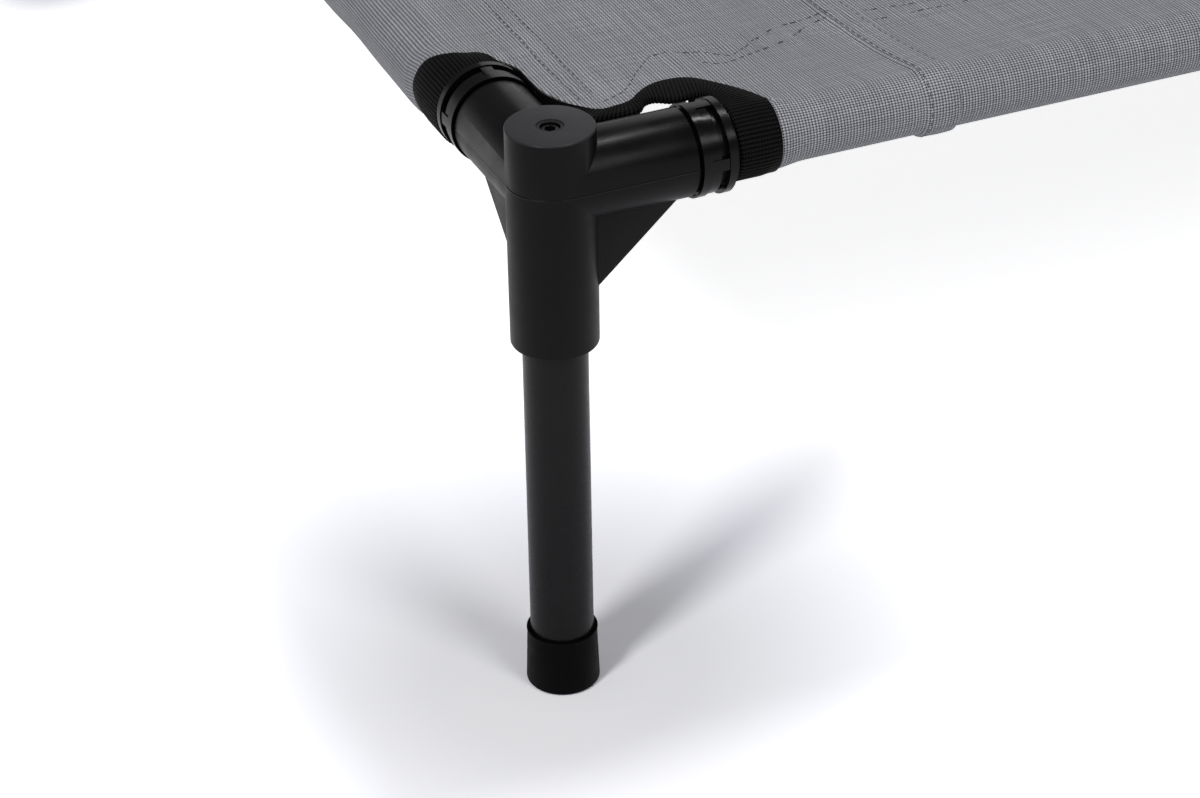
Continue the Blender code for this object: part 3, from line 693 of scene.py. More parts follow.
@dataclass(frozen=True)
class RibbedWebbing:
    """Black binding tape whose ribs are knobbly with the yarn that crosses them. The knobs' tops
    are painted lighter and the hollows darker, as painted highlight and painted shade.
    """

    name: str
    colour: tuple[float, float, float]
    pitch: float = 0.00155
    knob: float = 0.00115
    depth: float = 0.00022
    drift: float = 1.6
    drift_patch: float = 0.004
    knit_share: float = 0.6
    painted_knob_light_power: float = 1.6
    # Shades of the colour from the hollows to the knobs' tops: painted shade and painted
    # highlight.
    tints: tuple[float, float] = (0.05, 4.5)
    fuzz: float = 0.00028
    fuzz_spread: tuple[float, float] = (0.55, 0.8)
    fuzz_share: float = 0.5
    fuzz_tint: float = 6.0
    fuzz_depth: float = 0.00008
    roughness: float = 0.55
    specular: float = 0.035

    def material(self) -> bpy.types.Material:
        """Builds the material, in step with the ribs of the binding's shape."""
        recipe = Recipe(self.name)
        flat = recipe.flat()
        u, v, _ = recipe.parts(flat)
        rib = recipe.sums("COSINE", recipe.sums("MULTIPLY", u, math.tau / self.pitch))
        rib = recipe.sums("MULTIPLY_ADD", rib, -0.5, 0.5)
        drift = recipe.speckle(flat, self.drift_patch)
        drift = recipe.span(drift, 0.0, 1.0, -self.drift, self.drift)
        knit = recipe.sums("SINE", recipe.sums("MULTIPLY_ADD", v, math.tau / self.knob, drift))
        knit = recipe.sums("MULTIPLY_ADD", knit, 0.5, 0.5)
        knit = recipe.sums("MULTIPLY_ADD", knit, self.knit_share, 1.0 - self.knit_share)
        knob = recipe.sums("MULTIPLY", rib, knit)
        fuzz = recipe.speckle(flat, self.fuzz, 3.0)
        # Painted highlight and shade: the knobs' tops take a lighter colour and the hollows
        # between them a darker one.
        tint = recipe.blend(recipe.sums("POWER", knob, self.painted_knob_light_power),
                            *(shade(self.colour, part) for part in self.tints))
        tint = recipe.blend(recipe.span(fuzz, *self.fuzz_spread, 0.0, self.fuzz_share), tint,
                            shade(self.colour, self.fuzz_tint))
        bump = recipe.relief(knob, self.depth)
        bump = recipe.relief(fuzz, self.fuzz_depth, bump)
        recipe.set(Base_Color=tint, Roughness=self.roughness, Normal=bump,
                   Specular_IOR_Level=self.specular)
        return recipe.material


@dataclass(frozen=True)
class TwistedThread:
    """Sewing thread with its twist."""

    name: str
    colour: tuple[float, float, float]
    turns: float = 1200.0
    fluff: float = 0.0004
    tints: tuple[float, float] = (0.7, 1.3)
    depth: float = 0.00004
    roughness: float = 0.75
    specular: float = 0.25

    def material(self) -> bpy.types.Material:
        """Builds the material."""
        recipe = Recipe(self.name)
        spot = recipe.place()
        twist = recipe.node("ShaderNodeTexWave", bands_direction="DIAGONAL")
        recipe.feed(twist.inputs["Vector"], spot)
        twist.inputs["Scale"].default_value = self.turns
        twist.inputs["Distortion"].default_value = 1.0
        fluff = recipe.speckle(spot, self.fluff)
        tint = recipe.blend(fluff, *(shade(self.colour, part) for part in self.tints))
        recipe.set(Base_Color=tint, Roughness=self.roughness, Specular_IOR_Level=self.specular,
                   Normal=recipe.relief(twist.outputs["Fac"], self.depth))
        return recipe.material


@dataclass(frozen=True)
class StudioFloor:
    """Pale floor with a painted glow that only the camera and gloss see: it keeps the shadows near
    the feet with a bluish cast, and whitens them away from the feet.

    From below it is clear, so that the bed's underside can be seen.
    """

    name: str
    colour: tuple[float, float, float]
    clear: tuple[float, float]
    contact: tuple[float, float] = (0.0, 0.05)
    least_painted_glow: float = 0.05
    white: float = 0.82
    glow_power: float = 1.3
    painted_glow_tint: tuple[float, float, float] = (0.82, 0.84, 1.0)
    grain: float = 0.02
    grain_tint: float = 0.995
    roughness: float = 0.9

    def material(self) -> bpy.types.Material:
        """Builds the material."""
        recipe = Recipe(self.name)
        spot = recipe.place()
        grain = recipe.speckle(spot, self.grain, 3.0)
        x, y, _ = recipe.parts(spot)
        gap_x = recipe.sums("SUBTRACT", recipe.sums("ABSOLUTE", x), BED.half_x)
        gap_y = recipe.sums("SUBTRACT", recipe.sums("ABSOLUTE", y), BED.half_y)
        away = recipe.sums("SQRT", recipe.sums(
            "MULTIPLY_ADD", gap_x, gap_x, recipe.sums("MULTIPLY", gap_y, gap_y)))
        glow = recipe.sums("POWER", recipe.span(away, *self.clear), self.glow_power)
        tight = recipe.span(away, *self.contact)
        other = recipe.sums("GREATER_THAN", recipe.sums("MAXIMUM", x, y), 0.0)
        glow = recipe.sums("MAXIMUM", glow, recipe.sums("MULTIPLY", other, tight))
        # Painted light: a glow that the camera and gloss see, least near the feet. It whitens the
        # floor's shadows farther off and tints them blue near the feet.
        cast = recipe.blend(glow, self.painted_glow_tint, WHITE)
        glow = recipe.sums("MULTIPLY_ADD", glow, self.white - self.least_painted_glow, self.least_painted_glow)
        tint = recipe.blend(grain, shade(self.colour, self.grain_tint), self.colour)
        seen, again = recipe.seen()
        tint = recipe.blend(recipe.sums("MULTIPLY", again, glow), tint, (0.0, 0.0, 0.0))
        recipe.set(Base_Color=tint, Roughness=self.roughness, Specular_IOR_Level=0.0,
                   Emission_Color=cast,
                   Emission_Strength=recipe.sums("MULTIPLY", seen, glow))
        below = recipe.node("ShaderNodeMixShader")
        recipe.feed(below.inputs[0], recipe.node("ShaderNodeNewGeometry").outputs["Backfacing"])
        recipe.feed(below.inputs[1], recipe.surface.outputs[0])
        recipe.feed(below.inputs[2], recipe.node("ShaderNodeBsdfTransparent").outputs[0])
        recipe.feed(recipe.tree.nodes["Material Output"].inputs["Surface"], below.outputs[0])
        return recipe.material


class Finishes:
    """Every material of the bed, built once."""

    def __init__(self) -> None:
        """Builds the materials."""
        # The moulding's second colour is a painted highlight on the boss's top.
        self.moulding = MouldedPlastic("black_moulding", (0.0028, 0.0027, 0.0033),
                                       (0.0270, 0.0262, 0.0300), 0.40, 0.24, 0.11).material()
        self.collar = PlainPlastic("black_collar", (0.0018, 0.0018, 0.0022), 0.22,
                                   0.16).material()
        self.leg = PlainPlastic("coated_leg", (0.0036, 0.0036, 0.0042), 0.28, 0.16,
                                grain=0.0009, grain_depth=0.000015).material()
        self.rail = PlainPlastic("coated_rail", (0.0055, 0.0055, 0.0062), 0.32, 0.15,
                                 grain=0.0009, grain_depth=0.000015).material()
        self.plug = PlainPlastic("black_plug", (0.010, 0.010, 0.011), 0.45, 0.30).material()
        self.bolt = PlainPlastic("blackened_bolt", (0.0050, 0.0050, 0.0055), 0.30, 0.3,
                                 metallic=0.5).material()
        self.rubber = PlainPlastic("foot_rubber", (0.0010, 0.0010, 0.0014), 0.50,
                                   0.05).material()
        # The cloth's second colour is painted shade for the gaps between the yarns.
        self.cloth = WovenCloth("grey_oxford", (0.400, 0.410, 0.446),
                                (0.012, 0.0125, 0.0145)).material()
        self.webbing = RibbedWebbing("black_webbing", (0.0030, 0.0030, 0.0029)).material()
        self.thread = TwistedThread("grey_thread", (0.045, 0.046, 0.052)).material()


# Corner fitting

@dataclass
class CornerFitting:
    """The three-way corner moulding: leg sleeve, boss, two arms and two gussets."""

    sleeve_drop: float = 0.067
    sleeve_draft: float = 0.0002
    boss_step: float = 0.00015
    parting_rise: float = 0.0004
    rounding: float = 0.0006
    top_rounding: float = 0.0007
    rail_inset: float = 0.020
    gusset_width: float = 0.018
    gusset_low: float = 0.0412
    gusset_reach: float = 0.0440
    gusset_root: float = 0.011
    gusset_rounding: float = 0.0008
    arm_root: float = 0.001
    arm_share: tuple[float, float] = (0.0155, 0.003)
    recess_radius: float = 0.00525
    recess_depth: float = 0.00045
    segments: int = 96

    def column(self) -> bmesh.types.BMesh:
        """Leg sleeve and boss, with the parting step between them."""
        outer = BED.sleeve_radius
        boss = outer - self.boss_step
        low, parting = BED.axis - self.sleeve_drop, BED.axis + self.parting_rise
        return turned(fillet([
            (0.0, low, 0.0),
            (outer - self.sleeve_draft, low, self.rounding),
            (outer, parting, 0.0),
            (boss, parting + self.boss_step, 0.0),
            (boss, BED.boss_top, self.top_rounding),
            (0.0, BED.boss_top, 0.0),
        ]), self.segments)

    def arm(self) -> bmesh.types.BMesh:
        """Arm, spigot and retaining lip, along Z."""
        lip = BED.spigot_radius + BED.lip_height
        return turned(fillet([
            (0.0, self.arm_root, 0.0),
            (BED.arm_radius, self.arm_root, 0.0),
            (BED.arm_radius, BED.arm_reach, self.rounding),
            (BED.spigot_radius, BED.arm_reach, 0.0),
            (BED.spigot_radius, BED.lip_start, 0.0),
            (lip, BED.lip_start, 0.0),
            (lip, BED.arm_end, 0.0),
            (0.0, BED.arm_end, 0.0),
        ]), self.segments)

    def gusset(self) -> bmesh.types.BMesh:
        """Thick web between the leg sleeve and the arm along X, its long edges rounded."""
        low, under = BED.axis - self.gusset_low, BED.axis - BED.arm_radius
        high = BED.axis - BED.arm_radius / 2
        slope = (under - low) / (self.gusset_reach - BED.sleeve_radius)
        outline = [(self.gusset_root, low - slope * (BED.sleeve_radius - self.gusset_root)),
                   (self.gusset_reach + (high - under) / slope, high), (self.gusset_root, high)]
        bm = bmesh.new()
        half = self.gusset_width / 2
        face = bm.faces.new([bm.verts.new((x, -half, z)) for x, z in outline])
        pulled = bmesh.ops.extrude_face_region(bm, geom=[face])
        moved = [item for item in pulled["geom"] if isinstance(item, bmesh.types.BMVert)]
        bmesh.ops.translate(bm, verts=moved, vec=(0, self.gusset_width, 0))
        bmesh.ops.recalc_face_normals(bm, faces=bm.faces)
        long_edges = [edge for edge in bm.edges
                      if abs(edge.verts[0].co.y - edge.verts[1].co.y) < MERGE
                      and abs(edge.verts[0].co.x - edge.verts[1].co.x) > MERGE
                      and abs(edge.verts[0].co.z - edge.verts[1].co.z) > MERGE]
        bmesh.ops.bevel(bm, geom=long_edges, affect="EDGES", offset=self.gusset_rounding,
                        segments=3, profile=0.5, material=-1)
        bmesh.ops.recalc_face_normals(bm, faces=bm.faces)
        return bm

    def cutters(self) -> list[tuple[bmesh.types.BMesh, Matrix]]:
        """The bores of the rails and the leg, and the bolt's stepped hole."""
        axis = Matrix.Translation((0, 0, BED.axis))
        past = BED.arm_end + BED.arm_radius
        bore = [(0.0, self.rail_inset - BED.clearance),
                (BED.arm_bore, self.rail_inset - BED.clearance), (BED.arm_bore, past), (0.0, past)]
        leg = [(0.0, 0.0), (BED.leg_bore, 0.0), (BED.leg_bore, BED.socket_ceiling),
               (0.0, BED.socket_ceiling)]
        floor = BED.boss_top - self.recess_depth
        shank, head = BED.bolt_radius + BED.clearance, BED.bolt_head_radius + BED.clearance
        stepped = [(0.0, BED.axis - self.sleeve_drop), (shank, BED.axis - self.sleeve_drop),
                   (shank, BED.bolt_seat), (head, BED.bolt_seat), (head, floor),
                   (self.recess_radius, floor), (self.recess_radius, BED.boss_top + self.rounding),
                   (0.0, BED.boss_top + self.rounding)]
        return [(turned(section, self.segments), spot) for section, spot in (
            (bore, axis @ LAY[Rail.LONG]), (bore, axis @ LAY[Rail.SHORT]),
            (leg, Matrix.Identity(4)), (stepped, Matrix.Identity(4)))]

    def mesh(self) -> bpy.types.Mesh:
        """The whole moulding round the leg's axis, with the share of arm as an attribute."""
        axis = Matrix.Translation((0, 0, BED.axis))
        joined = [(self.arm(), axis @ LAY[Rail.LONG]),
                  (self.arm(), axis @ LAY[Rail.SHORT]),
                  (self.gusset(), Matrix.Identity(4)),
                  (self.gusset(), Matrix.Rotation(QUARTER, 4, "Z"))]
        blank = linked("fitting_blank", finished_mesh(self.column(), "fitting_blank"))
        tools = [blank]
        for operation, shapes in (("UNION", joined), ("DIFFERENCE", self.cutters())):
            for shape, spot in shapes:
                mesh = finished_mesh(shape, "fitting_tool")
                mesh.transform(spot)
                tools.append(linked("fitting_tool", mesh))
                step = blank.modifiers.new("step", "BOOLEAN")
                step.operation, step.solver, step.object = operation, "EXACT", tools[-1]
        bpy.context.view_layer.update()
        solid = blank.evaluated_get(bpy.context.evaluated_depsgraph_get())
        bm = bmesh.new()
        bm.from_mesh(solid.to_mesh())
        bmesh.ops.remove_doubles(bm, verts=bm.verts, dist=MERGE)
        bmesh.ops.dissolve_degenerate(bm, edges=bm.edges, dist=MERGE)
        bmesh.ops.recalc_face_normals(bm, faces=bm.faces)
        layer = bm.verts.layers.float.new("arm")
        start, length = self.arm_share
        for vert in bm.verts:
            vert[layer] = float(ease((vert.co.xy.length - start) / length))
        mesh = finished_mesh(bm, "corner_moulding")
        for tool in tools:
            bpy.data.objects.remove(tool, do_unlink=True)
        return mesh

    def build(self, finishes: Finishes) -> None:
        """Adds the moulding at the four corners."""
        shared = self.mesh()
        for corner in CORNERS:
            add_piece(f"fitting_{corner.name}", stood(shared, corner), finishes.moulding,
                      stands_for=[f"corner_fitting_{corner.name}"])


# Locking collar

@dataclass
class LockingCollar:
    """Turning ring on an arm: a cupped flange, a rim, four windows and the ribs between them."""

    wall: float = 0.0015
    cup_depth: float = 0.0012
    cup_radius: float = 0.0171
    flange_radius: float = 0.0179
    flange_length: float = 0.0035
    rim_length: float = 0.003
    window_length: float = 0.003
    rib_rise: float = 0.0005
    windows: int = 4
    rib_steps: int = 4
    segments: int = 96
    rounding: float = 0.00022
    nearly: float = 0.25
    turns: dict[Rail, float] = field(default_factory=lambda: {
        Rail.LONG: math.radians(-9.5), Rail.SHORT: math.radians(-5.3)})

    def mesh(self) -> bpy.types.Mesh:
        """The ring along Z, its cupped flange at the bottom."""
        bore = BED.spigot_radius + BED.clearance
        body = bore + self.wall
        window_end = BED.collar_length - self.rim_length
        window_start = window_end - self.window_length
        rib = body + self.rib_rise
        bm = turned([
            (self.cup_radius, 0.0), (self.flange_radius, 0.0),
            (self.flange_radius, self.flange_length), (rib, self.flange_length),
            (rib, window_start), (rib, window_end), (BED.rim_radius, window_end),
            (BED.rim_radius, BED.collar_length), (bore, BED.collar_length), (bore, window_end),
            (bore, window_start), (bore, self.cup_depth), (self.cup_radius, self.cup_depth),
        ], self.segments, hollow=True)
        pitch = self.segments // self.windows

        def beside_rib(face: bmesh.types.BMFace, low: float, high: float) -> bool:
            """Whether a face is on the wall between two heights and not at a rib."""
            centre = face.calc_center_median()
            turn = math.atan2(centre.y, centre.x) % math.tau / math.tau
            on_rib = int(turn * self.segments) % pitch < self.rib_steps
            return abs(face.normal.z) < 0.5 and low < centre.z < high and not on_rib

        bm.normal_update()
        shelf = [face for face in bm.faces if beside_rib(face, self.flange_length, window_end)
                 and face.calc_center_median().xy.length > bore]
        sunk = bmesh.ops.extrude_face_region(bm, geom=shelf)["geom"]
        for vert in (item for item in sunk if isinstance(item, bmesh.types.BMVert)):
            vert.co.xy *= body / vert.co.xy.length
        bmesh.ops.delete(bm, geom=[face for face in shelf if face.is_valid], context="FACES_ONLY")
        bm.normal_update()
        glass = [face for face in bm.faces if beside_rib(face, window_start, window_end)]
        bmesh.ops.delete(bm, geom=glass, context="FACES_ONLY")
        rims = [edge for edge in bm.edges if edge.is_boundary]
        for window in range(self.windows):
            chosen = [edge for edge in rims if self.rib_steps - self.nearly
                      < self.step_of(edge, window * pitch) < pitch + self.nearly]
            bmesh.ops.bridge_loops(bm, edges=chosen)
        bmesh.ops.remove_doubles(bm, verts=bm.verts, dist=MERGE)
        bmesh.ops.recalc_face_normals(bm, faces=bm.faces)
        return finished_mesh(bm, "locking_collar")

    def step_of(self, edge: bmesh.types.BMEdge, first: int) -> float:
        """Where an edge is round the ring, in segments after a given one."""
        middle = (edge.verts[0].co + edge.verts[1].co) / 2
        turn = math.atan2(middle.y, middle.x) / math.tau
        return (turn * self.segments - first + 0.1) % self.segments - 0.1

    def build(self, finishes: Finishes) -> None:
        """Adds the eight collars, each on its own body."""
        shared = self.mesh()
        for corner in CORNERS:
            for rail, node in ((Rail.LONG, corner.collar_on_x), (Rail.SHORT, corner.collar_on_y)):
                along = (BED.collar_start, 0.0) if rail is Rail.LONG else (0.0, BED.collar_start)
                lay = (Matrix.Translation((*along, BED.axis))
                       @ Matrix.Rotation(self.turns[rail], 4, rail.value) @ LAY[rail])
                piece = add_piece(f"turning_{node}", stood(shared, corner, lay), finishes.collar,
                                  node, [node])
                soften = piece.modifiers.new("soft_edges", "BEVEL")
                soften.width, soften.segments = self.rounding, 2
                soften.limit_method, soften.angle_limit = "ANGLE", math.radians(40.0)


# Legs

@dataclass
class Leg:
    """Leg tube, the bolt that holds it and its rubber foot."""

    foot_height: float = 0.0245
    foot_floor: float = 0.003
    foot_wall: float = 0.001
    foot_flare: float = 0.0008
    foot_bead: float = 0.0012
    foot_bead_rise: float = 0.00025
    key_across_flats: float = 0.004
    key_depth: float = 0.0025
    grip: float = 0.014
    plug_flange: float = 0.0018
    segments: int = 72
    bolt_segments: int = 48

    def tube(self) -> bmesh.types.BMesh:
        """The leg tube, from inside the foot to under the plug's flange."""
        top = BED.socket_ceiling - BED.clearance - self.plug_flange - BED.clearance
        low = self.foot_floor + BED.clearance
        inner = BED.leg_radius - BED.tube_wall
        return turned([(inner, low), (BED.leg_radius, low), (BED.leg_radius, top), (inner, top)],
                      self.segments, hollow=True)

    def foot(self) -> bmesh.types.BMesh:
        """Tapered ferrule with a bead round its mouth."""
        bore = BED.leg_bore
        top = bore + self.foot_wall
        base = top + self.foot_flare
        neck = self.foot_height - self.foot_bead
        return turned(fillet([
            (0.0, 0.0, 0.0), (base, 0.0, 0.0012), (top, neck, 0.0),
            (top + self.foot_bead_rise, neck + 0.0003, 0.0002),
            (top + self.foot_bead_rise, self.foot_height, 0.0004),
            (bore, self.foot_height, 0.0), (bore, self.foot_floor, 0.0),
            (0.0, self.foot_floor, 0.0),
        ]), self.segments)

    def bolt(self) -> bmesh.types.BMesh:
        """Socket-head bolt; its seat is at Z = 0 and its shank points down."""
        length = BED.bolt_seat - (BED.socket_ceiling - BED.clearance) + self.grip
        flats = self.key_across_flats / 2
        corner = flats / math.cos(math.pi / 6)
        floor = BED.bolt_head - self.key_depth
        bm = turned(fillet([
            (0.0, -length, 0.0), (BED.bolt_radius, -length, 0.0003), (BED.bolt_radius, 0.0, 0.0),
            (BED.bolt_head_radius, 0.0, 0.0), (BED.bolt_head_radius, BED.bolt_head, 0.0004),
            (corner, BED.bolt_head, 0.0), (corner, floor, 0.0), (0.0, floor, 0.0),
        ], 3), self.bolt_segments)
        for vert in bm.verts:
            if vert.co.z > 0.0 and abs(vert.co.xy.length - corner) < MERGE:
                turn = math.atan2(vert.co.y, vert.co.x) % (math.pi / 3) - math.pi / 6
                vert.co.xy *= flats / math.cos(turn) / corner
        return bm

    def build(self, finishes: Finishes) -> None:
        """Adds the four legs, and finishes the plugs and rails that stay."""
        parts = (("leg", "leg_tube", self.tube(), 0.0, finishes.leg, Slot.LEG),
                 ("foot_cap", "foot", self.foot(), 0.0, finishes.rubber, Slot.RUBBER),
                 ("bolt", "leg_bolt", self.bolt(), BED.bolt_seat + BED.clearance,
                  finishes.bolt, Slot.BOLT))
        for label, node, shape, height, material, slot in parts:
            shared = finished_mesh(shape, label)
            for corner in CORNERS:
                mesh = stood(shared, corner, Matrix.Translation((0, 0, height)))
                add_piece(f"{label}_{corner.name}", mesh, material,
                          stands_for=[f"{node}_{corner.name}"])
        for name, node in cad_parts.items():
            if name.startswith("rail_tube"):
                node.data.materials[0] = finishes.rail
            if name.startswith("leg_plug"):
                node.data.materials[0] = finishes.plug


# Cover

@dataclass
class Notch:
    """The cover's cut edge round a corner, the same at all four.

    Points are (along the long rail, along the short rail, height) from the leg's axis and the
    rails' axes. The two rows are the binding's far edge, where the cloth comes out of it, and
    its free edge.
    """

    by_short_rail: tuple = (
        ((-0.0147, 0.0164, 0.0007), (-0.0152, 0.0025, 0.0006)),
        ((-0.0105, 0.0134, 0.0001), (-0.0099, 0.0025, -0.0028)),
        ((-0.0073, 0.0076, -0.0003), (-0.0036, 0.0050, -0.0080)),
        ((-0.0038, 0.0004, -0.0008), (0.0014, 0.0008, -0.0118)),
        ((-0.0035, -0.0075, -0.0010), (0.0013, -0.0070, -0.0126)),
        ((-0.0029, -0.0215, -0.0010), (0.0002, -0.0220, -0.0126)),
        ((0.0017, -0.0345, -0.0005), (0.0004, -0.0395, -0.0061)),
    )
    tip: tuple = ((0.0280, 0.0211, 0.0001), (0.0210, 0.0147, -0.0003))
    by_long_rail: tuple = (
        ((-0.0302, 0.0027, 0.0000), (-0.0338, -0.0049, -0.0004)),
        ((-0.0246, 0.0045, 0.0000), (-0.0250, -0.0045, -0.0004)),
        ((-0.0200, 0.0083, 0.0000), (-0.0208, -0.0007, 0.0000)),
        ((-0.0135, 0.0125, 0.0000), (-0.0165, 0.0000, 0.0000)),
        ((-0.0050, 0.0139, 0.0000), (-0.0100, -0.0033, 0.0000)),
        ((0.0035, 0.0111, 0.0000), (-0.0004, -0.0032, 0.0000)),
        ((0.0115, 0.0013, 0.0002), (0.0025, -0.0081, 0.0000)),
        ((0.0170, -0.0092, 0.0008), (0.0025, -0.0127, 0.0006)),
    )
    lean: tuple = (-0.0030, 0.0015, 0.0065, 0.0077, 0.0085, 0.0070, 0.0040, 0.0010)
    lean_pitch: float = 1.0 / 12.0

    def rows(self) -> tuple[np.ndarray, np.ndarray]:
        """The far and the free row over the deck, from the short rail's top to the long one's."""
        half = BED.binding_half + BED.clearance
        swing, beside = BED.rim_radius + half, BED.arm_radius + half
        top, hoop = BED.cover_radius, BED.cover_radius + BED.cover_lift
        pairs = [((0.0, BED.binding_far + self.lean[0], hoop), (0.0, BED.binding_near, hoop))]
        for origin, table in (((swing, BED.collar_end, top), self.by_short_rail),
                              ((0.0, 0.0, top), (self.tip,)),
                              ((BED.collar_end, beside, top), self.by_long_rail)):
            pairs += [tuple(tuple(np.add(origin, point)) for point in pair) for pair in table]
        pairs.append(((BED.binding_far, 0.0, hoop), (BED.binding_near, 0.0, hoop)))
        return tuple(smooth_curve(np.array([pair[row] for pair in pairs])) for row in (0, 1))

    def leans(self, sleeve: "Sleeve") -> np.ndarray:
        """How much farther from the corner the binding starts, at each step round a sleeve."""
        known = np.array(self.lean + (0.0, 0.0))
        share = np.arange(sleeve.arc_steps + 1) / sleeve.arc_steps
        lean = np.interp(share, np.arange(len(known)) * self.lean_pitch, known)
        soft = lean.copy()
        for _ in range(2):
            soft[1:-1] = (soft[:-2] + 2.0 * soft[1:-1] + soft[2:]) / 4.0
        return np.concatenate([soft, np.zeros(sleeve.steps - sleeve.arc_steps)])


@dataclass(frozen=True)
class Sleeve:
    """Section of the cover's sleeve round a rail, with the hem that closes it."""

    hem_in: float
    hem_out: float
    arc_steps: int = 36
    flap_steps: int = 6
    hem_steps: int = 4

    @property
    def steps(self) -> int:
        """Steps from the rail's top to the hem's end."""
        return self.arc_steps + self.flap_steps + self.hem_steps

    def section(self, slack: np.ndarray, lift: np.ndarray) -> tuple[np.ndarray, np.ndarray]:
        """Section from the rail's top to the hem's end.

        The loop is a circle hung from the top by the slack, then a straight flap that rises to
        the hem under the deck.

        Args:
            slack: How loosely the sleeve hangs, for each station along the rail.
            lift: How far it stands off the rail, for each station.

        Returns:
            Distance inwards and height from the rail's axis, stations by steps.
        """
        slack, lift = np.atleast_1d(slack)[:, None], np.atleast_1d(lift)[:, None]
        radius = BED.cover_radius + lift + slack
        flap = BED.cover_radius - BED.fabric - BED.clearance - lift
        away = np.hypot(self.hem_in, flap + slack)
        sweep = (np.arctan2(flap + slack, self.hem_in) - np.arccos(radius / away)
                 + math.tau - QUARTER)
        angle = QUARTER + sweep * np.linspace(0.0, 1.0, self.arc_steps + 1)[None, :]
        arc_u, arc_w = radius * np.cos(angle), radius * np.sin(angle) - slack
        part = np.linspace(0.0, 1.0, self.flap_steps + 1)[None, 1:]
        flap_u = arc_u[:, -1:] + (self.hem_in - arc_u[:, -1:]) * part
        flap_w = arc_w[:, -1:] + (flap - arc_w[:, -1:]) * part
        hem_u = np.linspace(self.hem_in, self.hem_out, self.hem_steps + 1)[None, 1:]
        hem_u = np.repeat(hem_u, len(radius), axis=0)
        return (np.hstack([arc_u, flap_u, hem_u]),
                np.hstack([arc_w, flap_w, np.repeat(flap, self.hem_steps, axis=1)]))

    def share_of_hem(self) -> np.ndarray:
        """For each step, 0 on the loop round the rail and 1 from the hem's start on."""
        loop, hem = np.zeros(self.arc_steps + 1), np.ones(self.hem_steps)
        return np.concatenate([loop, np.linspace(0.0, 1.0, self.flap_steps + 1)[1:], hem])


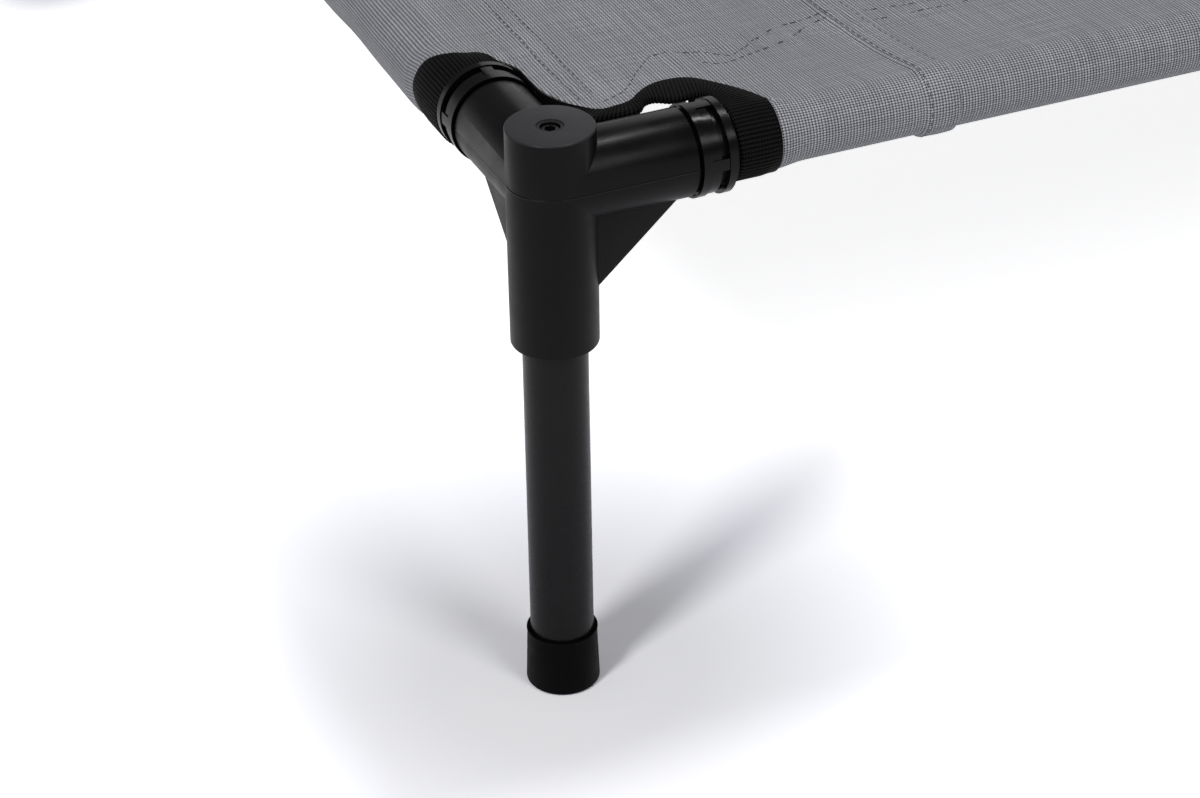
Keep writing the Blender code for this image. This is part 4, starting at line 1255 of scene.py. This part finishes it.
@dataclass
class Cover:
    """The cloth cover: a middle panel and two end panels, joined by felled seams."""

    long_sleeve: Sleeve = Sleeve(0.041, 0.056)
    short_sleeve: Sleeve = Sleeve(0.024, 0.037)
    short_slack: float = 0.0032
    binding_slack: float = 0.0024
    corner_slack: float = 0.0006
    corner_slack_at: float = 0.118
    corner_slack_reach: float = 0.032
    hem_trim: float = 0.0105
    taper: float = 0.012
    sag: float = 0.028
    notch_reach: float = 0.14
    into_binding: float = 0.0024
    seam_at: float = 0.162
    seam_lap: float = 0.012
    seam_joggle: float = 0.002
    seam_rise: float = 0.00135
    fold_rise: float = 0.00068
    fold_back: float = 0.0095
    lap_puff: float = 0.00018
    trough_at: float = 0.0165
    trough_depth: float = 0.0011
    trough_reach: float = 0.0062
    trough_start: float = 0.075
    trough_ease: float = 0.03
    seam_bend: float = 0.0108
    bend_reach: float = 0.030
    bend_start: float = 0.095
    bend_ease: float = 0.045
    bend_end: float = 0.15
    long_rows: tuple[float, float] = (0.0518, 0.0449)
    short_rows: tuple[float, float] = (0.0256, 0.0322)
    seam_rows: tuple[float, float] = (0.1506, 0.1606)
    pucker: float = 0.00022
    pucker_waves: tuple[float, float, float] = (0.0105, 0.0115, 0.012)
    pucker_reach: tuple[float, float, float] = (0.0085, 0.0065, 0.010)
    deck_step: float = 0.0035
    deck_crowding: float = 0.12
    panel_columns: int = 161
    notch: Notch = field(default_factory=Notch)

    def __post_init__(self) -> None:
        """Works out the notch's rows and where the cut edge runs round the short rail."""
        self.far, self.free = self.notch.rows()
        self.trim = self.hem_trim * self.short_sleeve.share_of_hem()
        self.short_start = BED.binding_far + self.trim + self.notch.leans(self.short_sleeve)

    # Heights of the cloth

    def height(self, x: np.ndarray, y: np.ndarray) -> np.ndarray:
        """Height of the deck's middle surface over the rails' axes.

        Args:
            x: Places along the bed.
            y: Places across it.

        Returns:
            Heights, with the lift at the bindings, the trough by the short rails, the sag at
            the notches and the puckers along the hems.
        """
        along, across = BED.half_x - np.abs(x), BED.half_y - np.abs(y)
        made, calm = np.full(np.shape(x), BED.cover_radius), np.ones(np.shape(x))
        near = (along < self.notch_reach) & (across < self.notch_reach)
        gap = np.hypot(along[near][:, None] - self.far[None, :, 0],
                       across[near][:, None] - self.far[None, :, 1])
        closest = gap.argmin(axis=1)
        distance = gap[np.arange(len(closest)), closest]
        change = self.far[closest, 2] - BED.cover_radius
        reach = np.where(change > 0.0, self.taper, self.sag)
        made[near] += change * (1.0 - ease(distance / reach))
        calm[near] = ease(distance / self.taper)
        apart = ease((across - self.trough_start) / self.trough_ease)
        made -= (self.trough_depth * apart * (1.0 + 0.3 * ripple(x, y, 0.07))
                 * np.exp(-((along - self.trough_at) / self.trough_reach) ** 2))
        made += calm * self.waves(x, y, along, across)
        return made

    def waves(self, x: np.ndarray, y: np.ndarray, along: np.ndarray,
              across: np.ndarray) -> np.ndarray:
        """Puckers beside the sewing and the cloth's slow unevenness."""
        off_rail = ease((across - 0.006) / 0.02) * ease((along - 0.004) / 0.01)
        gaps = (across - sum(self.long_rows) / 2, along - sum(self.short_rows) / 2,
                along - self.seam_at + self.seam_lap / 2)
        at_long, at_short, at_seam = (np.exp(-(gap / reach) ** 2)
                                      for gap, reach in zip(gaps, self.pucker_reach))
        near_corner = 1.0 + 1.2 * np.exp(-((along - 0.10) / 0.06) ** 2)
        run_long, run_short, run_seam = (place / wave * math.tau
                                         for place, wave in zip((x, y, y), self.pucker_waves))
        tight = (at_long * near_corner * np.sin(run_long + 2.5 * ripple(x, y, 0.06))
                 + at_short * np.sin(run_short + 2.5 * ripple(y, x, 0.05, 1.7))
                 + 0.7 * at_seam * np.sin(run_seam + 2.0 * ripple(y, x, 0.07, 0.6)))
        slow = 0.00025 * ripple(x, y, 0.11) + 0.00012 * ripple(x, y, 0.035, 0.9)
        return off_rail * (self.pucker * tight + slow)

    def fade(self, distance: np.ndarray) -> np.ndarray:
        """1 at a binding's far edge, 0 once the cloth lies down on the rail."""
        return 1.0 - ease(distance / self.taper)

    def bent(self, points: np.ndarray) -> np.ndarray:
        """Points moved with the seam, which leans to the corner away from the long rail."""
        along, across = BED.half_x - np.abs(points[..., 0]), BED.half_y - np.abs(points[..., 1])
        share = (ease((along - self.bend_start) / self.bend_ease)
                 * (1.0 - ease((along - self.seam_at - 0.001) / self.bend_end)))
        lean = self.seam_bend * (1.0 - np.exp(-np.maximum(across, 0.0) / self.bend_reach)) * share
        moved = points.copy()
        moved[..., 0] += np.sign(points[..., 0]) * lean
        return moved

    # Panels

    def across(self, x: np.ndarray, lift: np.ndarray,
               side: int = 0) -> tuple[np.ndarray, np.ndarray]:
        """The cover's whole section from the front hem over the deck to the back hem.

        Args:
            x: Places along the bed.
            lift: Extra height of the cloth at each, for a seam's upper layer.
            side: -1 or 1 for an end panel, 0 for the middle one.

        Returns:
            Points, places by rows by 3, and the length along the cut at each.
        """
        bound = BED.cover_lift * self.fade(BED.half_x - np.abs(x) - BED.binding_far)
        bound = bound if side else np.zeros(len(x))
        u, w = self.long_sleeve.section(np.zeros(len(x)), lift + bound)
        hem = self.long_sleeve.share_of_hem()
        deck_y = self.deck_rows()
        stations = np.repeat(x[:, None], u.shape[1], axis=1)
        halves = []
        for edge in (-1, 1):
            y = edge * (BED.half_y - u)
            shift = (self.height(stations, y) - BED.cover_radius) * hem
            halves.append(np.stack([stations, y, BED.axis + w + shift], axis=2))
        xs, ys = np.meshgrid(x, deck_y[1:-1], indexing="ij")
        z = BED.axis + self.height(xs, ys) + lift[:, None]
        deck = np.stack([xs, ys, z], axis=2)
        points = np.concatenate([halves[0][:, ::-1], deck, halves[1]], axis=1)
        steps = np.linalg.norm(np.diff(points[len(x) // 2], axis=0), axis=1)
        along = np.concatenate([[0.0], np.cumsum(steps)])
        return points, along - along[-1] / 2

    def deck_rows(self) -> np.ndarray:
        """Rows across the deck from one rail's top to the other's, closer near the rails."""
        more = self.deck_crowding
        count = 2 * round(BED.half_y / self.deck_step / (1.0 + more) / 2) * 2
        t = np.linspace(-1.0, 1.0, count + 1)
        return BED.half_y * ((1.0 - more) * t + more * np.sin(t * QUARTER))

    def middle_panel(self, finishes: Finishes) -> None:
        """Adds the middle of the cover, between the two seams."""
        edge = BED.half_x - self.seam_at + self.seam_lap - BED.clearance
        x = np.linspace(-edge, edge, self.panel_columns)
        points, along = self.across(x, np.zeros(len(x)))
        flat = np.stack(np.meshgrid(x, along, indexing="ij"), axis=2)
        self.sheet("cover_middle", points, flat, None, finishes, "cover_centre_panel")

    def lap_columns(self) -> tuple[np.ndarray, np.ndarray, np.ndarray]:
        """The end panel's columns from its last binding to the fold's inner edge.

        Returns:
            Distance from the leg's axis, lift over the deck, and length along the cut.
        """
        start = self.seam_at - self.seam_lap - self.seam_joggle - BED.clearance
        plain = np.linspace(BED.binding_far, start, 25)
        joggle = np.linspace(start, start + self.seam_joggle, 5)[1:]
        radius = (self.seam_rise - self.fold_rise) / 2
        lap = np.linspace(start + self.seam_joggle, self.seam_at - radius, 9)[1:]
        turn = np.linspace(0.0, math.pi, 6)[1:]
        back = np.linspace(self.seam_at - radius, self.seam_at - self.fold_back, 5)[1:]
        puff = self.lap_puff * np.sin((lap - lap[0]) / (lap[-1] - lap[0]) * math.pi)
        along = np.concatenate([plain, joggle, lap,
                                self.seam_at - radius + radius * np.sin(turn), back])
        lift = np.concatenate([
            np.zeros(len(plain)), self.seam_rise * ease((joggle - start) / self.seam_joggle),
            self.seam_rise + puff, self.fold_rise + radius + radius * np.cos(turn),
            np.full(len(back), self.fold_rise)])
        steps = np.hypot(np.diff(along), np.diff(lift))
        return along, lift, BED.binding_far + np.concatenate([[0.0], np.cumsum(steps)])

    def slack(self, across: np.ndarray, start: float) -> tuple[np.ndarray, np.ndarray]:
        """Slack and lift of the short rail's sleeve at distances from the leg's axis."""
        bound = self.fade(across - start)
        off_corner = (across - self.corner_slack_at) / self.corner_slack_reach
        loose = (self.short_slack + self.corner_slack * np.exp(-off_corner ** 2)
                 + 0.0003 * ripple(across, across, 0.06))
        return loose + (self.binding_slack - loose) * bound, BED.cover_lift * bound

    def end_panel(self, side: int, label: str, finishes: Finishes) -> None:
        """Adds one end of the cover: sleeve on the short rail, two notches and the upper lap.

        The grid's columns go round the short rail, follow the notches' far edges and then the
        seam. Its rows go round the front rail, over the deck and round the back rail. The first
        columns have no rows round the long rails, apart from the strip inside the bindings.
        """
        wrap = self.short_sleeve
        hem = wrap.share_of_hem()[::-1]
        first = wrap.steps
        last_bound = first + len(self.far) - 1
        lap_along, lap_lift, lap_flat = self.lap_columns()
        rows = len(self.deck_rows())
        rim = self.long_sleeve.steps
        columns = last_bound + len(lap_along)
        points = np.zeros((columns, rows + 2 * rim, 3))
        flat = np.zeros((columns, rows + 2 * rim, 2))
        share = self.deck_rows() / BED.half_y

        for column in range(first):
            start = self.short_start[wrap.steps - column]
            y = share * (BED.half_y - start)
            slack, lift = self.slack(BED.half_y - np.abs(y), start)
            u, w = (part[:, wrap.steps - column] for part in wrap.section(slack, lift))
            x = side * (BED.half_x - u)
            shift = (self.height(x, y) - BED.cover_radius) * hem[column]
            points[column, rim:rim + rows] = np.stack([x, y, BED.axis + w + shift], axis=1)
            flat[column, rim:rim + rows, 1] = y
        for index, far in enumerate(self.far):
            y = share * (BED.half_y - far[1])
            x = np.full(rows, side * (BED.half_x - far[0]))
            z = BED.axis + self.height(x, y)
            if index == 0:
                z = BED.axis + BED.cover_radius + self.slack(BED.half_y - np.abs(y), far[1])[1]
            points[first + index, rim:rim + rows] = np.stack([x, y, z], axis=1)
            flat[first + index, rim:rim + rows, 0] = far[0]
            flat[first + index, rim:rim + rows, 1] = y
        middle = points[:first + 1, rim + rows // 2]
        lengths = np.linalg.norm(np.diff(middle, axis=0), axis=1)[::-1].cumsum()[::-1]
        flat[:first, :, 0] = -lengths[:, None]
        lap, along = self.across(side * (BED.half_x - lap_along), lap_lift, side)
        points[last_bound:] = lap
        flat[last_bound:, :, 0] = lap_flat[:, None]
        flat[last_bound:, :, 1] = along[None, :]

        self.enter_bindings(points, flat, side, first, last_bound, rim, rows)
        kept = np.ones((columns - 1, rows + 2 * rim - 1), bool)
        kept[:last_bound - 1, :rim - 1] = False
        kept[:last_bound - 1, rim + rows:] = False
        flat[..., 0] = side * (BED.half_x - flat[..., 0])
        self.sheet(f"cover_end_{label}", points, flat, kept, finishes,
                   f"cover_end_panel_{label}")

    def enter_bindings(self, points: np.ndarray, flat: np.ndarray, side: int, first: int,
                       last_bound: int, rim: int, rows: int) -> None:
        """Carries the cut edge on into the bindings' slots, in place."""
        for edge, row, step in ((-1, rim, -1), (1, rim + rows - 1, 1)):
            for column in range(last_bound + 1):
                out = np.array((0.0, edge, 0.0))
                if column >= first:
                    gap = self.free[column - first] - self.far[column - first]
                    out = np.array((-side * gap[0], -edge * gap[1], gap[2])) / np.linalg.norm(gap)
                points[column, row + step] = points[column, row] + out * self.into_binding
                flat[column, row + step] = flat[column, row] + (0.0, edge * self.into_binding)
            outward = np.array((side, 0, 0)) * self.into_binding
            for offset in range(2, rim + 1):
                outer = row + step * offset
                points[last_bound - 1, outer] = points[last_bound, outer] + outward
                flat[last_bound - 1, outer] = flat[last_bound, outer] - (self.into_binding, 0.0)

    def sheet(self, name: str, points: np.ndarray, flat: np.ndarray, kept: np.ndarray | None,
              finishes: Finishes, node: str) -> None:
        """Adds a sheet of cloth with its thickness, and declares its flat cut."""
        bm = cloth_grid(self.bent(points), flat, kept)
        piece = add_piece(name, finished_mesh(bm, name, 60.0), finishes.cloth,
                          stands_for=[node])
        thick = piece.modifiers.new("thickness", "SOLIDIFY")
        thick.thickness, thick.offset = BED.fabric, 0.0

    def build(self, finishes: Finishes) -> None:
        """Adds the three panels."""
        self.middle_panel(finishes)
        self.end_panel(-1, "left", finishes)
        self.end_panel(1, "right", finishes)


# Bindings

@dataclass
class Station:
    """Where the binding is at one place along the cut edge."""

    start: Vector
    out: Vector
    width: float
    at_mouth: Vector
    at_fold: Vector
    along: float


@dataclass
class CornerBinding:
    """Webbing folded over the cut edge round a corner."""

    cover: Cover
    mouth: float = 0.0003
    mouth_half: float = 0.00112
    mouth_rows: tuple[float, float, float] = (0.0004, 0.0030, 0.0060)
    fold_steps: int = 6
    puff: float = 0.07
    puff_wave: float = 0.021
    lumps: float = 0.00022
    lump_wave: float = 0.013
    pitch: float = 0.00155
    rib_steps: int = 5
    rib_depth: float = 0.00026
    rib_power: float = 0.7
    rib_middle: float = 0.6

    def path(self, corner: Corner) -> list[Station]:
        """The stations of the binding, from the short rail's hem to the long rail's."""
        cover = self.cover
        none, one = np.zeros(1), np.ones(1)
        short = cover.short_sleeve.section(one * cover.binding_slack, one * BED.cover_lift)
        long = cover.long_sleeve.section(none, one * BED.cover_lift)
        short, long = ([part[0][:-sleeve.hem_steps] for part in section] for section, sleeve
                       in ((short, cover.short_sleeve), (long, cover.long_sleeve)))
        u, w = short[0][::-1], short[1][::-1]
        ends = [np.vstack([np.stack([u, start[len(u) - 1::-1], w], axis=1)[:-1], row,
                           np.stack([np.full(len(long[0]), edge), *long], axis=1)[1:]])
                for start, row, edge in (
                    (cover.short_start, cover.far, BED.binding_far),
                    (BED.binding_near + cover.trim, cover.free, BED.binding_near))]
        far, free = ([Vector((corner.side_x * (BED.half_x - x), corner.side_y * (BED.half_y - y),
                              BED.axis + z)) for x, y, z in row] for row in ends)
        stations, along = [], 0.0
        for index, (start, edge) in enumerate(zip(far, free)):
            out = (edge - start).normalized()
            hand = corner.side_x * corner.side_y
            ups = [out.cross(self.heading(row, index)).normalized() * hand
                   for row in (far, free)]
            if index:
                along += ((start + edge) / 2 - (far[index - 1] + free[index - 1]) / 2).length
            stations.append(Station(start, out, (edge - start).length, ups[0],
                                    (ups[0] + ups[1]).normalized(), along))
        return self.closer(stations)

    def closer(self, stations: list[Station]) -> list[Station]:
        """Stations between the given ones, several to each rib."""
        known = np.array([station.along for station in stations])
        count = round(known[-1] / self.pitch) * self.rib_steps
        found = []
        for along in np.linspace(0.0, known[-1], count + 1):
            index = int(min(max(np.searchsorted(known, along) - 1, 0), len(known) - 2))
            one, two = stations[index], stations[index + 1]
            share = (along - one.along) / (two.along - one.along)
            found.append(Station(one.start.lerp(two.start, share),
                                 one.out.lerp(two.out, share).normalized(),
                                 one.width + (two.width - one.width) * share,
                                 one.at_mouth.lerp(two.at_mouth, share).normalized(),
                                 one.at_fold.lerp(two.at_fold, share).normalized(), along))
        return found

    @staticmethod
    def heading(row: Sequence[Vector], index: int) -> Vector:
        """Direction of a row at one of its points, halfway between its two neighbours'."""
        ahead = row[index + 1] - row[index] if index < len(row) - 1 else Vector()
        behind = row[index] - row[index - 1] if index else Vector()
        return ahead.normalized() + behind.normalized()

    def section(self, width: float, puff: float) -> list[tuple[float, float]]:
        """The folded webbing's section as (reach from the far edge, height off the cloth)."""
        half = BED.binding_half * puff
        slot = BED.fabric / 2 + BED.clearance * 0.4
        steps = self.fold_steps
        outer = [(self.mouth, self.mouth_half * 0.8)]
        outer += [(self.mouth + reach, height) for reach, height
                  in zip(self.mouth_rows, (self.mouth_half, self.mouth_half, half))]
        bend = [(width - half + half * math.sin(turn), half * math.cos(turn))
                for turn in np.linspace(0.0, math.pi, 2 * steps + 1)]
        inner = width - BED.webbing
        back = [(inner - slot + slot * math.sin(turn), slot * math.cos(turn))
                for turn in np.linspace(math.pi, 0.0, steps + 1)]
        under = [(reach, -height) for reach, height in reversed(outer)]
        loop = outer + bend + under + [(self.mouth, -slot)] + back + [(self.mouth, slot)]
        return loop + loop[:1]

    def mesh(self, corner: Corner, stations: list[Station]) -> bpy.types.Mesh:
        """The swept binding, closed at both ends."""
        points, flat = [], []
        along = np.array([station.along for station in stations])
        puffs = 1.0 + self.puff * ripple(along, along, self.puff_wave, corner.turns)
        nudges = self.lumps * ripple(along, along, self.lump_wave, 2.0 + corner.turns)
        ribs = 0.5 - 0.5 * np.cos(np.arange(len(stations)) * math.tau / self.rib_steps)
        ribs = ribs ** self.rib_power
        for index, (station, puff, nudge, rib) in enumerate(zip(stations, puffs, nudges, ribs)):
            strip = index * self.pitch / self.rib_steps
            raised = (rib - self.rib_middle) * self.rib_depth
            loop = self.section(station.width + nudge + raised, puff + raised / BED.binding_half)
            ring, around, before = [], 0.0, None
            for reach, height in loop:
                up = station.at_mouth.lerp(station.at_fold, reach / station.width).normalized()
                point = station.start + station.out * reach + up * height
                around += (point - before).length if before is not None else 0.0
                before = point
                ring.append(point)
                flat.append((strip, around))
            points.append(ring)
        grid = np.array(points)
        bm = cloth_grid(grid, np.array(flat).reshape(grid.shape[0], grid.shape[1], 2))
        bmesh.ops.remove_doubles(bm, verts=bm.verts, dist=MERGE)
        bmesh.ops.holes_fill(bm, edges=[edge for edge in bm.edges if edge.is_boundary], sides=0)
        bmesh.ops.recalc_face_normals(bm, faces=bm.faces)
        return finished_mesh(bm, f"binding_{corner.name}", 50.0)

    def build(self, finishes: Finishes) -> None:
        """Adds the four bindings."""
        for corner in CORNERS:
            stations = self.path(corner)
            add_piece(f"binding_{corner.name}", self.mesh(corner, stations), finishes.webbing,
                      stands_for=[f"corner_binding_{corner.name}"])


# Sewing

@dataclass
class Sewing:
    """Rows of stitches along the hems and the seams."""

    cover: Cover
    length: float = 0.0030
    pitch: float = 0.0040
    width: float = 0.00052
    height: float = 0.00042
    half_share: float = 0.56
    probe: float = 0.0005
    run_step: float = 0.004
    lap_inset: float = 0.0133
    short_start: float = 0.031
    short_points: int = 600
    long_wander: float = 0.0007
    short_wander: float = 0.0005
    phases: tuple[float, float, float] = (0.3, 0.4, 0.35)
    corner_rows: tuple = (
        ((0.0320, 0.0262), (0.0440, 0.0317), (0.0565, 0.0463), (0.0670, 0.0546),
         (0.0787, 0.0509), (0.0889, 0.0431), (0.0944, 0.0414), (0.1060, 0.0490),
         (0.1191, 0.0559), (0.1270, 0.0561), (0.1383, 0.0586), (0.1480, 0.0560),
         (0.1561, 0.0541), (0.1759, 0.0516)),
        ((0.0788, 0.0423), (0.0856, 0.0361), (0.0922, 0.0368), (0.1050, 0.0402),
         (0.1193, 0.0450), (0.1369, 0.0543), (0.1460, 0.0500), (0.1579, 0.0451),
         (0.1919, 0.0449)),
    )

    def dash(self, bm: bmesh.types.BMesh, start: Vector, end: Vector, up: Vector) -> None:
        """One stitch between two points."""
        along = end - start
        side = up.cross(along).normalized()
        lift = along.cross(side).normalized()
        axes = Matrix((along * self.half_share, side * self.width / 2,
                       lift * self.height / 2)).transposed()
        bmesh.ops.create_icosphere(bm, subdivisions=1, radius=1.0, matrix=Matrix.Translation(
            (start + end) / 2) @ axes.to_4x4())

    def row(self, bm: bmesh.types.BMesh, points: np.ndarray, ups: np.ndarray,
            phase: float = 0.0) -> None:
        """A row of stitches along a line.

        Args:
            bm: Where the stitches go.
            points: The line, on the cloth's surface.
            ups: The surface's normal at each of its points.
            phase: Shift of the stitches, as a share of the pitch.
        """
        steps = np.linalg.norm(np.diff(points, axis=0), axis=1)
        along = np.concatenate([[0.0], np.cumsum(steps)])
        for start in np.arange(self.pitch * (0.2 + phase), along[-1] - self.length, self.pitch):
            ends = [Vector([np.interp(at, along, points[:, k]) for k in range(3)])
                    for at in (start, start + self.length)]
            middle = start + self.length / 2
            up = Vector([np.interp(middle, along, ups[:, k]) for k in range(3)])
            self.dash(bm, ends[0], ends[1], up)

    def on_deck(self, x: np.ndarray, y: np.ndarray) -> tuple[np.ndarray, np.ndarray]:
        """Points on top of the deck's cloth, and its normals there."""
        z = self.cover.height(x, y)
        slope_x = (self.cover.height(x + self.probe, y) - z) / self.probe
        slope_y = (self.cover.height(x, y + self.probe) - z) / self.probe
        ups = np.stack([-slope_x, -slope_y, np.ones(len(z))], axis=1)
        return np.stack([x, y, BED.axis + z + BED.fabric / 2], axis=1), ups

    def hems(self, bm: bmesh.types.BMesh) -> None:
        """Two rows along each hem; beside the long rails they wander at the corners."""
        cover = self.cover
        for side_x in (-1, 1):
            for side_y in (-1, 1):
                for index, table in enumerate(self.corner_rows):
                    run = smooth_curve(np.array(table))
                    rest = np.arange(run[-1, 0] + self.run_step, BED.half_x, self.run_step)
                    wander = self.long_wander * ripple(rest, rest, 0.05, side_x + side_y + index)
                    rest = np.stack([rest, cover.long_rows[index] + wander], axis=1)
                    run = np.vstack([run, rest])
                    x, y = side_x * (BED.half_x - run[:, 0]), side_y * (BED.half_y - run[:, 1])
                    points, ups = self.on_deck(x, y)
                    lean = np.abs(cover.bent(points)[:, 0] - x)
                    seam = run[:, 0] + lean
                    points[:, 2] += np.where((seam > cover.seam_at - self.lap_inset)
                                             & (seam < cover.seam_at), cover.seam_rise, 0.0)
                    self.row(bm, points, ups, self.phases[0] * index)
        for side_x in (-1, 1):
            for index, row in enumerate(cover.short_rows):
                reach = BED.half_y - self.short_start - 0.002 * index
                y = np.linspace(-reach, reach, self.short_points)
                wander = self.short_wander * ripple(y, y, 0.05, side_x + index)
                x = side_x * (BED.half_x - row - wander)
                points, ups = self.on_deck(x, y)
                self.row(bm, points, ups, self.phases[1] * index)

    def seams(self, bm: bmesh.types.BMesh) -> None:
        """Two rows through each felled seam, from hem to hem."""
        cover = self.cover
        for side in (-1, 1):
            for index, along in enumerate(cover.seam_rows):
                x = side * (BED.half_x - np.array([along - self.probe, along + self.probe]))
                lift = np.full(2, cover.seam_rise)
                strip, _ = cover.across(x, lift, side)
                run, beside = strip[0], strip[1] - strip[0]
                ups = np.cross(np.gradient(run, axis=0), beside) * side
                ups /= np.linalg.norm(ups, axis=1)[:, None]
                self.row(bm, cover.bent(run + ups * BED.fabric / 2), ups,
                         self.phases[2] * index)

    def build(self, finishes: Finishes) -> None:
        """Adds the sewing as two pieces of stitches."""
        for name, sew in (("hem_stitches", self.hems), ("seam_stitches", self.seams)):
            bm = bmesh.new()
            sew(bm)
            add_piece(name, finished_mesh(bm, name, 80.0), finishes.thread)


# Studio

@dataclass
class Studio:
    """Pale floor, soft lamps and the camera at the photograph's angle."""

    floor_size: float = 12.0
    floor_drop: float = 0.0002
    aim_height: float = 0.15
    camera_at: tuple[float, float, float] = (-0.9593, -1.3856, 0.8130)
    yaw: float = math.radians(23.48)
    pitch: float = math.radians(31.71)
    roll: float = math.radians(-0.97)
    lens: float = 103.104
    lamps: tuple = (
        ("top_lamp", (0.25, 0.10, 2.4), 0.36, 14.0),
        ("front_lamp", (-0.02, -1.86, 1.70), 0.80, 14.0),
        ("left_lamp", (-1.83, -1.10, 1.75), 0.40, 25.0),
        ("back_lamp", (1.2, 2.3, 1.6), 1.6, 5.0),
    )
    fill: float = 0.20
    backdrop: tuple[float, float] = (0.0, 0.25)

    def add_floor(self) -> None:
        """Adds the floor, which isn't part of the bed."""
        bm = bmesh.new()
        bmesh.ops.create_grid(bm, x_segments=8, y_segments=8, size=self.floor_size / 2)
        bmesh.ops.translate(bm, verts=bm.verts, vec=(0, 0, -self.floor_drop))
        mesh = finished_mesh(bm, "studio_floor")
        floor = linked("studio_floor", mesh)
        finish = StudioFloor("pale_floor", (0.93, 0.93, 0.95), (0.05, 0.22))
        mesh.materials.append(finish.material())

    def add_world(self) -> None:
        """Soft light from all round, and white for what sees past the floor."""
        world = bpy.data.worlds.new("studio_world")
        bpy.context.scene.world = world
        world.use_nodes = True
        nodes = Nodes(world.node_tree)
        path = nodes.node("ShaderNodeLightPath").outputs
        height = nodes.parts(nodes.place())[2]
        gloss = nodes.sums("MULTIPLY", path["Is Glossy Ray"],
                           nodes.span(height, *self.backdrop, 1.0, 0.0))
        seen = nodes.sums("MAXIMUM", path["Is Camera Ray"], gloss)
        seen = nodes.sums("MAXIMUM", seen, path["Is Transmission Ray"])
        back = nodes.tree.nodes["Background"].inputs
        nodes.feed(back["Strength"], nodes.span(seen, 0.0, 1.0, self.fill, 1.0))
        nodes.feed(back["Color"], (*WHITE, 1.0))

    def add_lamps(self) -> None:
        """Adds the soft boxes, all aimed at the photographed corner."""
        aim = Vector((-BED.half_x, -BED.half_y, self.aim_height))
        for name, spot, size, power in self.lamps:
            light = bpy.data.lights.new(name, "AREA")
            light.shape, light.size, light.energy = "DISK", size, power
            lamp = linked(name, light)
            lamp.location = spot
            lamp.rotation_euler = (aim - Vector(spot)).to_track_quat("-Z", "Y").to_euler()

    def add_camera(self) -> None:
        """Adds the camera at the photograph's place, angle and lens."""
        lens = bpy.data.cameras.new("photo_camera")
        lens.sensor_fit, lens.sensor_width, lens.lens = "HORIZONTAL", 36.0, self.lens
        lens.clip_start, lens.clip_end = 0.05, 50.0
        camera = linked("photo_camera", lens)
        ahead = Vector((math.sin(self.yaw) * math.cos(self.pitch),
                        math.cos(self.yaw) * math.cos(self.pitch), -math.sin(self.pitch)))
        level = Vector((math.cos(self.yaw), -math.sin(self.yaw), 0.0))
        upward = level.cross(ahead)
        right = level * math.cos(self.roll) + upward * math.sin(self.roll)
        up = upward * math.cos(self.roll) - level * math.sin(self.roll)
        turn = Matrix((right, up, -ahead)).transposed().to_4x4()
        camera.matrix_world = Matrix.Translation(self.camera_at) @ turn
        bpy.context.scene.camera = camera

    def build(self) -> None:
        """Sets the studio up."""
        bpy.context.scene.view_settings.view_transform = "Standard"
        self.add_floor()
        self.add_world()
        self.add_lamps()
        self.add_camera()


def main() -> None:
    """Builds the bed and its studio round the frame."""
    logging.basicConfig(level=logging.INFO, format="%(name)s: %(message)s")
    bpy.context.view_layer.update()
    Studio().build()
    finishes = Finishes()
    CornerFitting().build(finishes)
    LockingCollar().build(finishes)
    Leg().build(finishes)
    cover = Cover()
    cover.build(finishes)
    CornerBinding(cover).build(finishes)
    Sewing(cover).build(finishes)
    bpy.context.view_layer.update()


if __name__ == "__main__":
    main()
